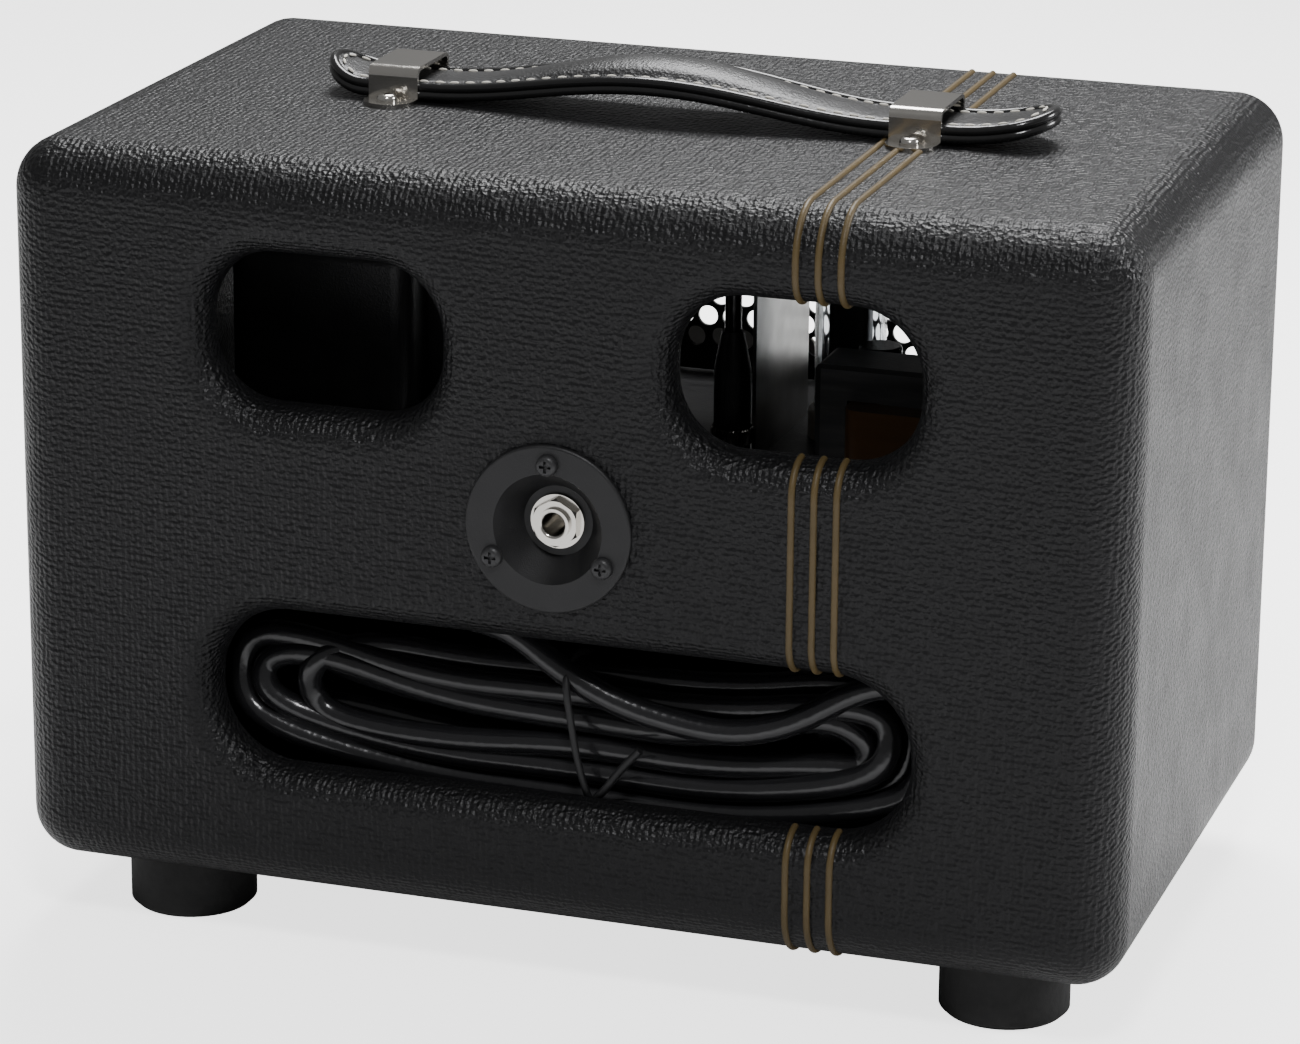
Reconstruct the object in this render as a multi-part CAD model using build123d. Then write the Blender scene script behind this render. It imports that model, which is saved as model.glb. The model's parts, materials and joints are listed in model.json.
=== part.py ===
from build123d import *
import os
from math import cos, pi, radians, sin, sqrt, tan

# Small valve guitar amplifier head. +Z up, +Y is the back, +X is the left side seen from behind.
# The origin is on the ground under the middle of the four feet. Millimetres.

# ---- cabinet -------------------------------------------------------------------------------
CABINET_W = 335.0
CABINET_H = 220.0
CABINET_D = 200.0
CABINET_EDGE_R = 15.0
BOARD_T = 18.0
BACK_T = 12.0
FOOT_H = 20.0
FOOT_D = 38.1
FOOT_INSET_X = 40.5
FOOT_INSET_Y = 36.0
LIP_R = 9.5
VENT_W = 71.0
VENT_H = 45.0
VENT_CORNER_R = 20.0
VENT_OFFSET_X = 70.0
VENT_BELOW_TOP = 49.7
CORD_MOUTH_W = 210.0
CORD_MOUTH_H = 48.0
CORD_MOUTH_CORNER_R = 23.0
CORD_MOUTH_RISE = 38.0
PANEL_RECESS = 16.0
SEAT_GAP = 0.3

# ---- gold piping ---------------------------------------------------------------------------
BEAD_R = 1.0
BEAD_PITCH = 6.5
BEAD_FIRST_X = 71.0
BEAD_COUNT = 3
BEAD_FRONT_STOP = 12.0

# ---- handle --------------------------------------------------------------------------------
CLIP_SPACING = 160.0
CLIP_L = 15.5
CLIP_H = 10.5
CLIP_T = 1.2
CLIP_INNER_W = 24.0
CLIP_FLANGE = 10.5
CLIP_BEND_R = 3.0
STRAP_SHIFT = -7.5
STRAP_LENGTH = 221.0
STRAP_T = 5.0
STRAP_SIDE_GAP = 0.6
STRAP_UNDER_CLIP = 1.5
STRAP_BOW = 7.5
STRAP_CROWN = 3.5
STRAP_TIP_RISE = 5.0
STRAP_MIDDLE_W = 29.0
HANDLE_LIFT = 2.2

# ---- chassis and front ---------------------------------------------------------------------
SHEET_T = 1.5
CHASSIS_W = 296.0
CHASSIS_TOP_RISE = 118.0
CHASSIS_H = 46.0
CHASSIS_BACK_Y = 42.0
CHASSIS_FLANGE = 14.0
PANEL_T = 1.5
GRILLE_T = 1.2
GRILLE_HOLE_D = 6.35
GRILLE_PITCH = 7.94
GRILLE_BORDER = 8.0
LOWER_BOARD_T = 12.0
CLEAT_W = 15.0
CLEAT_H = 15.0
BATTEN = 10.0
BADGE_W = 46.0
BADGE_H = 11.0
BADGE_T = 2.4
CLEAT_SCREW_L = 12.0

# ---- controls ------------------------------------------------------------------------------
KNOB_NAMES = ("gain", "tone", "volume")
KNOB_FIRST_X = -10.0
KNOB_PITCH = -36.0
KNOB_D = 23.0
KNOB_SKIRT_D = 26.0
KNOB_SKIRT_T = 2.5
KNOB_DEPTH = 14.0
KNOB_PANEL_GAP = 1.0
SHAFT_D = 6.35
SHAFT_CLEARANCE = 0.05
SHAFT_L = 22.0
BUSHING_D = 9.5
BUSHING_PROUD = 0.7
NUT_RECESS_D = 16.5
PANEL_NUT_AF = 12.0
PANEL_NUT_T = 2.2
POT_D = 24.0
POT_T = 10.0
TOGGLE_NAMES = ("power", "standby")
TOGGLE_FIRST_X = 118.0
TOGGLE_PITCH = -34.0
TOGGLE_BUSHING_D = 11.8
TOGGLE_BALL_R = 3.6
TOGGLE_LEVER_L = 13.4
TOGGLE_TILT = 13.0
LAMP_X = 52.0
LAMP_D = 15.0
LAMP_BARREL_D = 11.0
SOCKET_NECK_D = 20.0
RELIEF_NECK_D = 12.0
CLEAT_SCREW_D = 4.0
INPUT_JACK_X = 24.0
JACK_BUSHING_D = 9.4
JACK_BORE_D = 6.5
JACK_NUT_AF = 12.7
JACK_NUT_T = 2.4

# ---- transformers, valves, board -----------------------------------------------------------
MAINS_CORE = (68.0, 30.0, 66.0)
MAINS_CENTRE = (98.0, -2.0)
MAINS_BELL = 17.0
MAINS_BELL_INSET = 5.0
OUTPUT_CORE = (52.0, 18.0, 36.0)
OUTPUT_CENTRE = (-84.0, 20.0)
OUTPUT_COIL_PROUD = 9.0
OUTPUT_FRAME_T = 1.5
VALVE_D = 21.5
VALVE_GLASS_T = 1.0
SOCKET_H = 9.0
SOCKET_D = 25.0
POWER_VALVE = (-50.0, -30.0, 60.0)
PREAMP_VALVE = (-84.0, -34.0, 44.0)
SHIELD_PLATE_X = -31.5
SHIELD_PLATE_H = 52.0
SMOOTHING_CAP = (-66.0, -6.0, 13.0, 36.0)
BOARD_SIZE = (150.0, 70.0, 1.6)
BOARD_CENTRE = (62.0, -8.0)
BOARD_DROP = 12.0

# ---- speaker outlet ------------------------------------------------------------------------
DISH_D = 49.5
DISH_RISE = 122.0
DISH_FLOOR_D = 20.6
DISH_DEPTH = 8.0
DISH_T = 1.6
DISH_RIM_W = 6.0
DISH_SCREW_R = 19.0
DISH_SCREW_D = 6.3
JACK_WASHER_D = 16.0
JACK_BODY_D = 20.0
JACK_BODY_L = 18.0
SPEAKER_PLUG_X = -27.0
SPEAKER_PLUG_Y = 15.0
SPEAKER_PLUG_D = 11.0
SPEAKER_PLUG_H = 38.0
LEAD_D = 5.0

# ---- mains lead ----------------------------------------------------------------------------
CORD_D = 7.8
CORD_EXIT = (66.0, 116.0)
RELIEF_D = 16.0
RELIEF_PROUD = 8.0
PLUG_RELIEF_L = 22.0
PLUG_BODY_L = 30.0
PLUG_BODY_W = 24.0
PLUG_START = (-46.0, 52.0, 78.0)
BLADE_L = 17.0
BLADE_SIZE = (6.3, 1.5)
BLADE_SPREAD = 12.7
EARTH_PIN_DROP = -7.9
HANK_Y = 75.0
HANK_Z = 75.0
HANK_HALF_L = 102.0
HANK_HALF_D = 8.2
HANK_WAIST_H = 24.0
HANK_END_H = 28.0
TIE_W = 3.0
TIE_T = 1.6

# ---- places worked out from the sizes above --------------------------------------------------
CABINET_TOP = FOOT_H + CABINET_H
BACK_Y = CABINET_D / 2
FRONT_Y = -CABINET_D / 2
INNER_BACK_Y = BACK_Y - BACK_T
INNER_X = CABINET_W / 2 - BOARD_T
INNER_FLOOR = FOOT_H + BOARD_T
INNER_TOP = CABINET_TOP - BOARD_T
PANEL_Y = FRONT_Y + PANEL_RECESS
VENT_Z = CABINET_TOP - VENT_BELOW_TOP
MOUTH_Z = FOOT_H + CORD_MOUTH_RISE + CORD_MOUTH_H / 2
CHASSIS_TOP = FOOT_H + CHASSIS_TOP_RISE
CHASSIS_BOTTOM = CHASSIS_TOP - CHASSIS_H
CHASSIS_FRONT_Y = PANEL_Y + PANEL_T
CONTROL_Z = CHASSIS_TOP - CHASSIS_H / 2
DISH_Z = FOOT_H + DISH_RISE
BEAD_XS = [-(BEAD_FIRST_X + BEAD_PITCH * n) for n in range(BEAD_COUNT)]
KNOB_XS = [KNOB_FIRST_X + KNOB_PITCH * n for n in range(len(KNOB_NAMES))]
TOGGLE_XS = [TOGGLE_FIRST_X + TOGGLE_PITCH * n for n in range(len(TOGGLE_NAMES))]
CLIP_XS = (-CLIP_SPACING / 2, CLIP_SPACING / 2)
CLIP_SCREW_Y = CLIP_INNER_W / 2 + CLIP_T + CLIP_FLANGE * 0.48
CLIP_SCREW_SHANK = 3.0
FOOT_PLACES = [
    (sx * (CABINET_W / 2 - FOOT_INSET_X), sy * (CABINET_D / 2 - FOOT_INSET_Y))
    for sx in (-1, 1)
    for sy in (-1, 1)
]
CHASSIS_SCREWS = [
    (side * (CHASSIS_W / 2 - CLEAT_W / 2), y) for side in (-1, 1) for y in (CHASSIS_FRONT_Y + 18, CHASSIS_BACK_Y - 14)
]


# ---- small helpers ---------------------------------------------------------------------------
def block(x0, x1, y0, y1, z0, z1):
    """A box between two corners."""
    return Pos((x0 + x1) / 2, (y0 + y1) / 2, (z0 + z1) / 2) * Box(abs(x1 - x0), abs(y1 - y0), abs(z1 - z0))


def rod_z(x, y, z0, z1, d):
    """An upright cylinder of diameter d."""
    return Pos(x, y, (z0 + z1) / 2) * Cylinder(d / 2, abs(z1 - z0))


def rod_y(x, z, y0, y1, d):
    """A cylinder of diameter d lying along Y."""
    return Pos(x, (y0 + y1) / 2, z) * Rot(90, 0, 0) * Cylinder(d / 2, abs(y1 - y0))


def rod_x(y, z, x0, x1, d):
    """A cylinder of diameter d lying along X."""
    return Pos((x0 + x1) / 2, y, z) * Rot(0, 90, 0) * Cylinder(d / 2, abs(x1 - x0))


def hex_y(x, z, y0, y1, across_flats):
    """A hexagonal prism lying along Y with a flat on top."""
    outline = Plane.XZ * Rot(0, 0, 30) * RegularPolygon(across_flats / sqrt(3), 6)
    return Pos(x, y1, z) * extrude(outline, y1 - y0)


def group(solids):
    """Separate solids that are kept in one node."""
    return Compound(children=list(solids))


def write(name, shape):
    """Write one node."""
    export_step(shape, f"parts/{name}.step")


def wall_hole(x, z, w, h, r, y0, y1):
    """A rounded rectangle through a wall that faces Y."""
    outline = Plane.XZ * RectangleRounded(w, h, r)
    return Pos(x, y1, z) * extrude(outline, y1 - y0)


def screw(x, y, z, head_d, head_h, shank_d, shank_l):
    """A domed cross-head screw that points down, with its head's seat at z."""
    dome = rod_z(x, y, z, z + head_h, head_d)
    dome = fillet(dome.edges().sort_by(Axis.Z)[-1:], head_h * 0.7)
    for w, d in ((head_d * 0.55, head_d * 0.14), (head_d * 0.14, head_d * 0.55)):
        dome -= Pos(x, y, z + head_h) * Box(w, d, head_h)
    return dome + rod_z(x, y, z - shank_l, z, shank_d)


# ---- cabinet and piping ----------------------------------------------------------------------
def cabinet_shell():
    """The covered wooden box: a closed back with three mouths, and an open front."""
    shell = Pos(0, 0, FOOT_H + CABINET_H / 2) * Box(CABINET_W, CABINET_D, CABINET_H)
    shell = fillet(shell.edges(), CABINET_EDGE_R)
    shell -= block(-INNER_X, INNER_X, FRONT_Y - 1, INNER_BACK_Y, INNER_FLOOR, INNER_TOP)
    for side in (-1, 1):
        shell -= wall_hole(side * VENT_OFFSET_X, VENT_Z, VENT_W, VENT_H, VENT_CORNER_R, INNER_BACK_Y - 1, BACK_Y + 1)
    shell -= wall_hole(0, MOUTH_Z, CORD_MOUTH_W, CORD_MOUTH_H, CORD_MOUTH_CORNER_R, INNER_BACK_Y - 1, BACK_Y + 1)
    back_face = shell.faces().filter_by(Axis.Y).sort_by(Axis.Y)[-1]
    shell = fillet(back_face.inner_wires().edges(), LIP_R)
    shell -= rod_y(0, DISH_Z, INNER_BACK_Y - 1, BACK_Y + 1, DISH_D - 2 * DISH_RIM_W)
    return shell


def bead_paths(x):
    """The three runs of one stripe: over the top, between the mouths, and below the cord mouth."""
    mid = sqrt(0.5)
    top_r = CABINET_EDGE_R
    vent_top = VENT_Z + VENT_H / 2
    vent_low = VENT_Z - VENT_H / 2
    mouth_top = MOUTH_Z + CORD_MOUTH_H / 2
    mouth_low = MOUTH_Z - CORD_MOUTH_H / 2
    throat_y = BACK_Y - LIP_R

    def lip(z_throat, way):
        """A quarter round from the throat out to the back face; way is +1 for an upper lip."""
        centre_z = z_throat + way * LIP_R
        return ThreePointArc(
            (x, throat_y, z_throat),
            (x, throat_y + LIP_R * mid, centre_z - way * LIP_R * mid),
            (x, BACK_Y, centre_z),
        )

    over = [
        Line((x, FRONT_Y + CABINET_EDGE_R, CABINET_TOP), (x, BACK_Y - top_r, CABINET_TOP)),
        ThreePointArc(
            (x, BACK_Y - top_r, CABINET_TOP),
            (x, BACK_Y - top_r + top_r * mid, CABINET_TOP - top_r + top_r * mid),
            (x, BACK_Y, CABINET_TOP - top_r),
        ),
        Line((x, BACK_Y, CABINET_TOP - top_r), (x, BACK_Y, vent_top + LIP_R)),
        lip(vent_top, 1),
    ]
    between = [
        lip(vent_low, -1),
        Line((x, BACK_Y, vent_low - LIP_R), (x, BACK_Y, mouth_top + LIP_R)),
        lip(mouth_top, 1),
    ]
    below = [
        lip(mouth_low, -1),
        Line((x, BACK_Y, mouth_low - LIP_R), (x, BACK_Y, FOOT_H + top_r)),
        ThreePointArc(
            (x, BACK_Y, FOOT_H + top_r),
            (x, BACK_Y - top_r + top_r * mid, FOOT_H + top_r - top_r * mid),
            (x, BACK_Y - top_r, FOOT_H),
        ),
    ]
    return [Wire(run) for run in (over, between, below)]


def bead_solids():
    """Round piping beads, half sunk in the covering."""
    beads = []
    for x in BEAD_XS:
        for path in bead_paths(x):
            section = Plane(path @ 0, z_dir=path % 0) * Circle(BEAD_R)
            beads.append(sweep(section, path=path))
    return beads


# ---- handle ----------------------------------------------------------------------------------
def clip_solid(x):
    """A bent strip that holds the strap down: two flanges, two walls and a flat top."""
    half = CLIP_INNER_W / 2 + CLIP_T
    low = CABINET_TOP
    arch = block(x - CLIP_L / 2, x + CLIP_L / 2, -half, half, low, low + CLIP_H)
    arch = fillet(arch.edges().filter_by(Axis.X).sort_by(Axis.Z)[-2:], CLIP_BEND_R)
    space = block(x - CLIP_L, x + CLIP_L, -half + CLIP_T, half - CLIP_T, low - 1, low + CLIP_H - CLIP_T)
    space = fillet(space.edges().filter_by(Axis.X).sort_by(Axis.Z)[-2:], CLIP_BEND_R - CLIP_T)
    clip = arch - space
    for side in (-1, 1):
        middle = side * (half - CLIP_T / 2)
        tip = side * (half + CLIP_FLANGE - CLIP_L / 2)
        ear = block(x - CLIP_L / 2, x + CLIP_L / 2, middle, tip, low, low + CLIP_T)
        ear += rod_z(x, tip, low, low + CLIP_T, CLIP_L)
        ear -= block(x - CLIP_L, x + CLIP_L, -half + CLIP_T, half - CLIP_T, low - 1, low + CLIP_H)
        clip += ear
    for side in (-1, 1):
        clip -= rod_z(x, side * CLIP_SCREW_Y, low - 1, low + CLIP_T + 1, CLIP_SCREW_SHANK + 0.2)
    return clip


def strap_solid():
    """The padded strap: bowed in the middle, pressed flat at the clips, tips curled up."""
    low = CABINET_TOP + STRAP_UNDER_CLIP
    left = STRAP_SHIFT + STRAP_LENGTH / 2
    right = STRAP_SHIFT - STRAP_LENGTH / 2
    clip_x = CLIP_SPACING / 2
    bottom = [
        (right, low + STRAP_TIP_RISE),
        (-clip_x - CLIP_L / 2, low),
        (-clip_x + CLIP_L / 2, low),
        (0, low + STRAP_BOW),
        (clip_x - CLIP_L / 2, low),
        (clip_x + CLIP_L / 2, low),
        (left, low + STRAP_TIP_RISE),
    ]
    top = [(px, pz + STRAP_T + (STRAP_CROWN if px == 0 else 0)) for px, pz in bottom]
    side = Wire([
        Spline([(px, 0, pz) for px, pz in bottom]),
        Line((left, 0, bottom[-1][1]), (left, 0, top[-1][1])),
        Spline([(px, 0, pz) for px, pz in reversed(top)]),
        Line((right, 0, top[0][1]), (right, 0, bottom[0][1])),
    ])
    slab = extrude(Face(side), STRAP_MIDDLE_W, both=True)
    clip_w = CLIP_INNER_W - 2 * STRAP_SIDE_GAP
    plan = Pos((left + right) / 2, 0) * RectangleRounded(STRAP_LENGTH, clip_w, clip_w * 0.49)
    plan += Pos((left + right) / 2, 0) * Ellipse(CLIP_SPACING * 0.36, STRAP_MIDDLE_W / 2)
    return slab & Pos(0, 0, CABINET_TOP) * extrude(plan, 60)


# ---- chassis and front -----------------------------------------------------------------------
def chassis_tray():
    """A folded steel tray, open below, with two flanges that sit on the cleats."""
    half = CHASSIS_W / 2
    tray = block(-half, half, CHASSIS_FRONT_Y, CHASSIS_BACK_Y, CHASSIS_BOTTOM, CHASSIS_TOP)
    tray -= block(
        -half + SHEET_T, half - SHEET_T, CHASSIS_FRONT_Y + SHEET_T, CHASSIS_BACK_Y - SHEET_T,
        CHASSIS_BOTTOM - 1, CHASSIS_TOP - SHEET_T,
    )
    for side in (-1, 1):
        tray += block(
            side * half, side * (half - CHASSIS_FLANGE), CHASSIS_FRONT_Y, CHASSIS_BACK_Y,
            CHASSIS_BOTTOM, CHASSIS_BOTTOM + SHEET_T,
        )
    for x, y in CHASSIS_SCREWS:
        tray -= rod_z(x, y, CHASSIS_BOTTOM - 1, CHASSIS_BOTTOM + SHEET_T + 1, CLEAT_SCREW_D + 0.4)
    for x in KNOB_XS:
        tray -= rod_y(x, CONTROL_Z, CHASSIS_FRONT_Y - 1, CHASSIS_FRONT_Y + SHEET_T + 1, BUSHING_D + 0.2)
    for x in TOGGLE_XS:
        tray -= rod_y(x, CONTROL_Z, CHASSIS_FRONT_Y - 1, CHASSIS_FRONT_Y + SHEET_T + 1, TOGGLE_BUSHING_D + 0.2)
    for x, d in ((LAMP_X, LAMP_BARREL_D), (INPUT_JACK_X, JACK_BUSHING_D)):
        tray -= rod_y(x, CONTROL_Z, CHASSIS_FRONT_Y - 1, CHASSIS_FRONT_Y + SHEET_T + 1, d + 0.2)
    for x, y, _ in (POWER_VALVE, PREAMP_VALVE):
        tray -= rod_z(x, y, CHASSIS_TOP - SHEET_T - 1, CHASSIS_TOP + 1, SOCKET_NECK_D + 0.2)
    tray -= rod_z(SPEAKER_PLUG_X, SPEAKER_PLUG_Y, CHASSIS_TOP - SHEET_T - 1, CHASSIS_TOP + 1, JACK_BUSHING_D + 0.2)
    tray -= rod_y(CORD_EXIT[0], CORD_EXIT[1], CHASSIS_BACK_Y - SHEET_T - 1, CHASSIS_BACK_Y + 1, RELIEF_NECK_D + 0.2)
    return tray


def front_pieces():
    """Grille, badge, control panel, lower board and the wooden cleats that carry them."""
    side_x = INNER_X - SEAT_GAP
    grille_low = CHASSIS_TOP + SEAT_GAP
    grille_top = INNER_TOP - SEAT_GAP
    sheet = block(-side_x, side_x, PANEL_Y, PANEL_Y + GRILLE_T, grille_low, grille_top)
    row_step = GRILLE_PITCH * sqrt(3) / 2
    rows = int((grille_top - grille_low - 2 * GRILLE_BORDER) // row_step) + 1
    columns = int((2 * side_x - 2 * GRILLE_BORDER) // GRILLE_PITCH)
    mid_z = (grille_low + grille_top) / 2
    holes = []
    for row in range(rows):
        z = mid_z + (row - (rows - 1) / 2) * row_step
        count = columns - row % 2
        for column in range(count):
            x = (column - (count - 1) / 2) * GRILLE_PITCH
            holes.append(rod_y(x, z, PANEL_Y - 1, PANEL_Y + GRILLE_T + 1, GRILLE_HOLE_D))
    write("front_grille", sheet - holes)
    badge = block(-BADGE_W / 2, BADGE_W / 2, PANEL_Y - BADGE_T, PANEL_Y, grille_low + 3, grille_low + 3 + BADGE_H)
    badge = fillet(badge.edges().filter_by(Axis.Y), BADGE_H * 0.4)
    badge = chamfer(badge.faces().sort_by(Axis.Y)[0].edges(), BADGE_T * 0.35)
    write("front_badge", badge)
    panel = block(-side_x, side_x, PANEL_Y, PANEL_Y + PANEL_T, CHASSIS_BOTTOM, CHASSIS_TOP)
    for x in KNOB_XS:
        panel -= rod_y(x, CONTROL_Z, PANEL_Y - 1, PANEL_Y + PANEL_T + 1, BUSHING_D + 0.2)
    for x in TOGGLE_XS:
        panel -= rod_y(x, CONTROL_Z, PANEL_Y - 1, PANEL_Y + PANEL_T + 1, TOGGLE_BUSHING_D + 0.2)
    for x, d in ((LAMP_X, LAMP_BARREL_D), (INPUT_JACK_X, JACK_BUSHING_D)):
        panel -= rod_y(x, CONTROL_Z, PANEL_Y - 1, PANEL_Y + PANEL_T + 1, d + 0.2)
    write("control_panel", panel)
    board = block(
        -side_x, side_x, PANEL_Y, PANEL_Y + LOWER_BOARD_T, INNER_FLOOR + SEAT_GAP, CHASSIS_BOTTOM - SEAT_GAP
    )
    board = fillet(board.faces().sort_by(Axis.Y)[0].edges(), 2.0)
    write("front_lower_board", board)
    rails = []
    for side in (-1, 1):
        rail = block(
            side * INNER_X, side * (INNER_X - CLEAT_W), PANEL_Y + LOWER_BOARD_T + SEAT_GAP, CHASSIS_BACK_Y,
            CHASSIS_BOTTOM - CLEAT_H, CHASSIS_BOTTOM,
        )
        for x, y in CHASSIS_SCREWS:
            if x * side > 0:
                rail -= rod_z(x, y, CHASSIS_BOTTOM - CLEAT_SCREW_L - 1, CHASSIS_BOTTOM + 1, CLEAT_SCREW_D + 0.1)
        rails.append(rail)
        rails.append(
            block(
                side * INNER_X, side * (INNER_X - BATTEN), PANEL_Y + GRILLE_T, PANEL_Y + GRILLE_T + BATTEN,
                CHASSIS_TOP + SEAT_GAP, INNER_TOP,
            )
        )
        rails.append(
            block(
                side * INNER_X, side * (INNER_X - BATTEN), PANEL_Y + LOWER_BOARD_T, PANEL_Y + LOWER_BOARD_T + BATTEN,
                INNER_FLOOR, CHASSIS_BOTTOM - CLEAT_H - SEAT_GAP,
            )
        )
    write("wooden_cleats", group(rails))
    write("chassis_screws", group(
        screw(x, y, CHASSIS_BOTTOM + SHEET_T, 7.5, 2.6, CLEAT_SCREW_D, CLEAT_SCREW_L) for x, y in CHASSIS_SCREWS
    ))


# ---- controls --------------------------------------------------------------------------------
def knob_solid(x):
    """A fluted knob with a skirt, bored for its shaft, with a pointer line cut in the cap."""
    back_y = PANEL_Y - KNOB_PANEL_GAP
    face_y = back_y - KNOB_DEPTH
    skirt = rod_y(x, CONTROL_Z, back_y - KNOB_SKIRT_T, back_y, KNOB_SKIRT_D)
    cap = rod_y(x, CONTROL_Z, face_y, back_y - KNOB_SKIRT_T, KNOB_D * 0.86)
    cap = fillet(cap.faces().sort_by(Axis.Y)[0].edges(), 1.4)
    knob = skirt + cap
    flutes = 18
    for n in range(flutes):
        angle = 2 * pi * n / flutes
        reach = KNOB_D * 0.43 + 0.35
        knob -= rod_y(
            x + reach * cos(angle), CONTROL_Z + reach * sin(angle), face_y - 1, back_y - KNOB_SKIRT_T - 1, 1.8
        )
    knob -= block(x - 0.6, x + 0.6, face_y - 1, face_y + 0.6, CONTROL_Z + 2, CONTROL_Z + KNOB_D)
    knob -= rod_y(x, CONTROL_Z, face_y + 3, back_y + 1, SHAFT_D)
    knob -= rod_y(x, CONTROL_Z, back_y - 4.0, back_y + 1, NUT_RECESS_D)
    return knob


def control_pieces():
    """Knobs, shafts, potentiometers, switches, lamp and input jack on the panel."""
    inside_y = CHASSIS_FRONT_Y + SHEET_T
    pots = []
    nuts = []
    for name, x in zip(KNOB_NAMES, KNOB_XS):
        knob_back = PANEL_Y - KNOB_PANEL_GAP
        write(f"{name}_knob", knob_solid(x))
        shaft_tip = knob_back - KNOB_DEPTH + 3.0
        write(f"{name}_shaft", rod_y(x, CONTROL_Z, shaft_tip, shaft_tip + SHAFT_L, SHAFT_D))
        pot = rod_y(x, CONTROL_Z, inside_y, inside_y + POT_T, POT_D)
        pot = fillet(pot.faces().sort_by(Axis.Y)[-1].edges(), 1.5)
        pot += rod_y(x, CONTROL_Z, PANEL_Y - PANEL_NUT_T - BUSHING_PROUD, inside_y, BUSHING_D)
        pot -= rod_y(
            x, CONTROL_Z, PANEL_Y - 20, shaft_tip + SHAFT_L + 0.2, SHAFT_D + 2 * SHAFT_CLEARANCE
        )
        pot += block(x - 9, x + 9, inside_y + 2, inside_y + 3.2, CONTROL_Z - 19, CONTROL_Z - POT_D / 2 + 1)
        pots.append(pot)
        nut = hex_y(x, CONTROL_Z, PANEL_Y - PANEL_NUT_T, PANEL_Y, PANEL_NUT_AF)
        nuts.append(nut - rod_y(x, CONTROL_Z, PANEL_Y - 9, PANEL_Y + 1, BUSHING_D))
    write("potentiometers", group(pots))
    bodies = []
    for name, x in zip(TOGGLE_NAMES, TOGGLE_XS):
        pivot_y = PANEL_Y - 4.0
        body = block(x - 9, x + 9, inside_y, inside_y + 18, CONTROL_Z - 13, CONTROL_Z + 13)
        body = fillet(body.edges().filter_by(Axis.Y), 1.0)
        body += rod_y(x, CONTROL_Z, PANEL_Y - 7.5, inside_y, TOGGLE_BUSHING_D)
        body -= Pos(x, pivot_y, CONTROL_Z) * Sphere(TOGGLE_BALL_R + SHAFT_CLEARANCE)
        mouth = Pos(x, pivot_y, CONTROL_Z) * Rot(90, 0, 0) * Pos(0, 0, 5) * Cone(2.4, 5.4, 10)
        bodies.append(body - mouth)
        lever = Pos(x, pivot_y, CONTROL_Z) * Sphere(TOGGLE_BALL_R)
        arm = Rot(90, 0, 0) * Pos(0, 0, TOGGLE_LEVER_L / 2) * Cone(1.9, 2.7, TOGGLE_LEVER_L)
        arm += Rot(90, 0, 0) * Pos(0, 0, TOGGLE_LEVER_L) * Sphere(2.7)
        lever += Pos(x, pivot_y, CONTROL_Z) * Rot(TOGGLE_TILT, 0, 0) * arm
        write(f"{name}_lever", lever)
        nut = hex_y(x, CONTROL_Z, PANEL_Y - PANEL_NUT_T, PANEL_Y, 15.0)
        nuts.append(nut - rod_y(x, CONTROL_Z, PANEL_Y - 9, PANEL_Y + 1, TOGGLE_BUSHING_D))
    write("toggle_switch_bodies", group(bodies))
    jack = rod_y(INPUT_JACK_X, CONTROL_Z, inside_y, inside_y + 22, 19.0)
    jack += rod_y(INPUT_JACK_X, CONTROL_Z, PANEL_Y - JACK_NUT_T - 1.2, inside_y, JACK_BUSHING_D)
    jack -= rod_y(INPUT_JACK_X, CONTROL_Z, PANEL_Y - 9, inside_y + 19, JACK_BORE_D)
    write("input_jack", jack)
    nut = hex_y(INPUT_JACK_X, CONTROL_Z, PANEL_Y - JACK_NUT_T, PANEL_Y, JACK_NUT_AF)
    nuts.append(nut - rod_y(INPUT_JACK_X, CONTROL_Z, PANEL_Y - 9, PANEL_Y + 1, JACK_BUSHING_D))
    write("panel_nuts", group(nuts))
    bezel = rod_y(LAMP_X, CONTROL_Z, PANEL_Y - 4, PANEL_Y, LAMP_D + 3)
    bezel = chamfer(bezel.faces().sort_by(Axis.Y)[0].edges(), 1.0)
    bezel += rod_y(LAMP_X, CONTROL_Z, PANEL_Y, inside_y + 16, LAMP_BARREL_D)
    bezel -= rod_y(LAMP_X, CONTROL_Z, PANEL_Y - 5, inside_y + 12, LAMP_BARREL_D - 2.5)
    bezel -= rod_y(LAMP_X, CONTROL_Z, PANEL_Y - 5, PANEL_Y - 1.5, LAMP_D - 2)
    write("pilot_lamp_bezel", bezel)
    jewel = rod_y(LAMP_X, CONTROL_Z, PANEL_Y - 7.5, PANEL_Y - 1.5, LAMP_D - 2)
    jewel = chamfer(jewel.faces().sort_by(Axis.Y)[0].edges(), 3.0)
    write("pilot_lamp_jewel", jewel)


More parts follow.
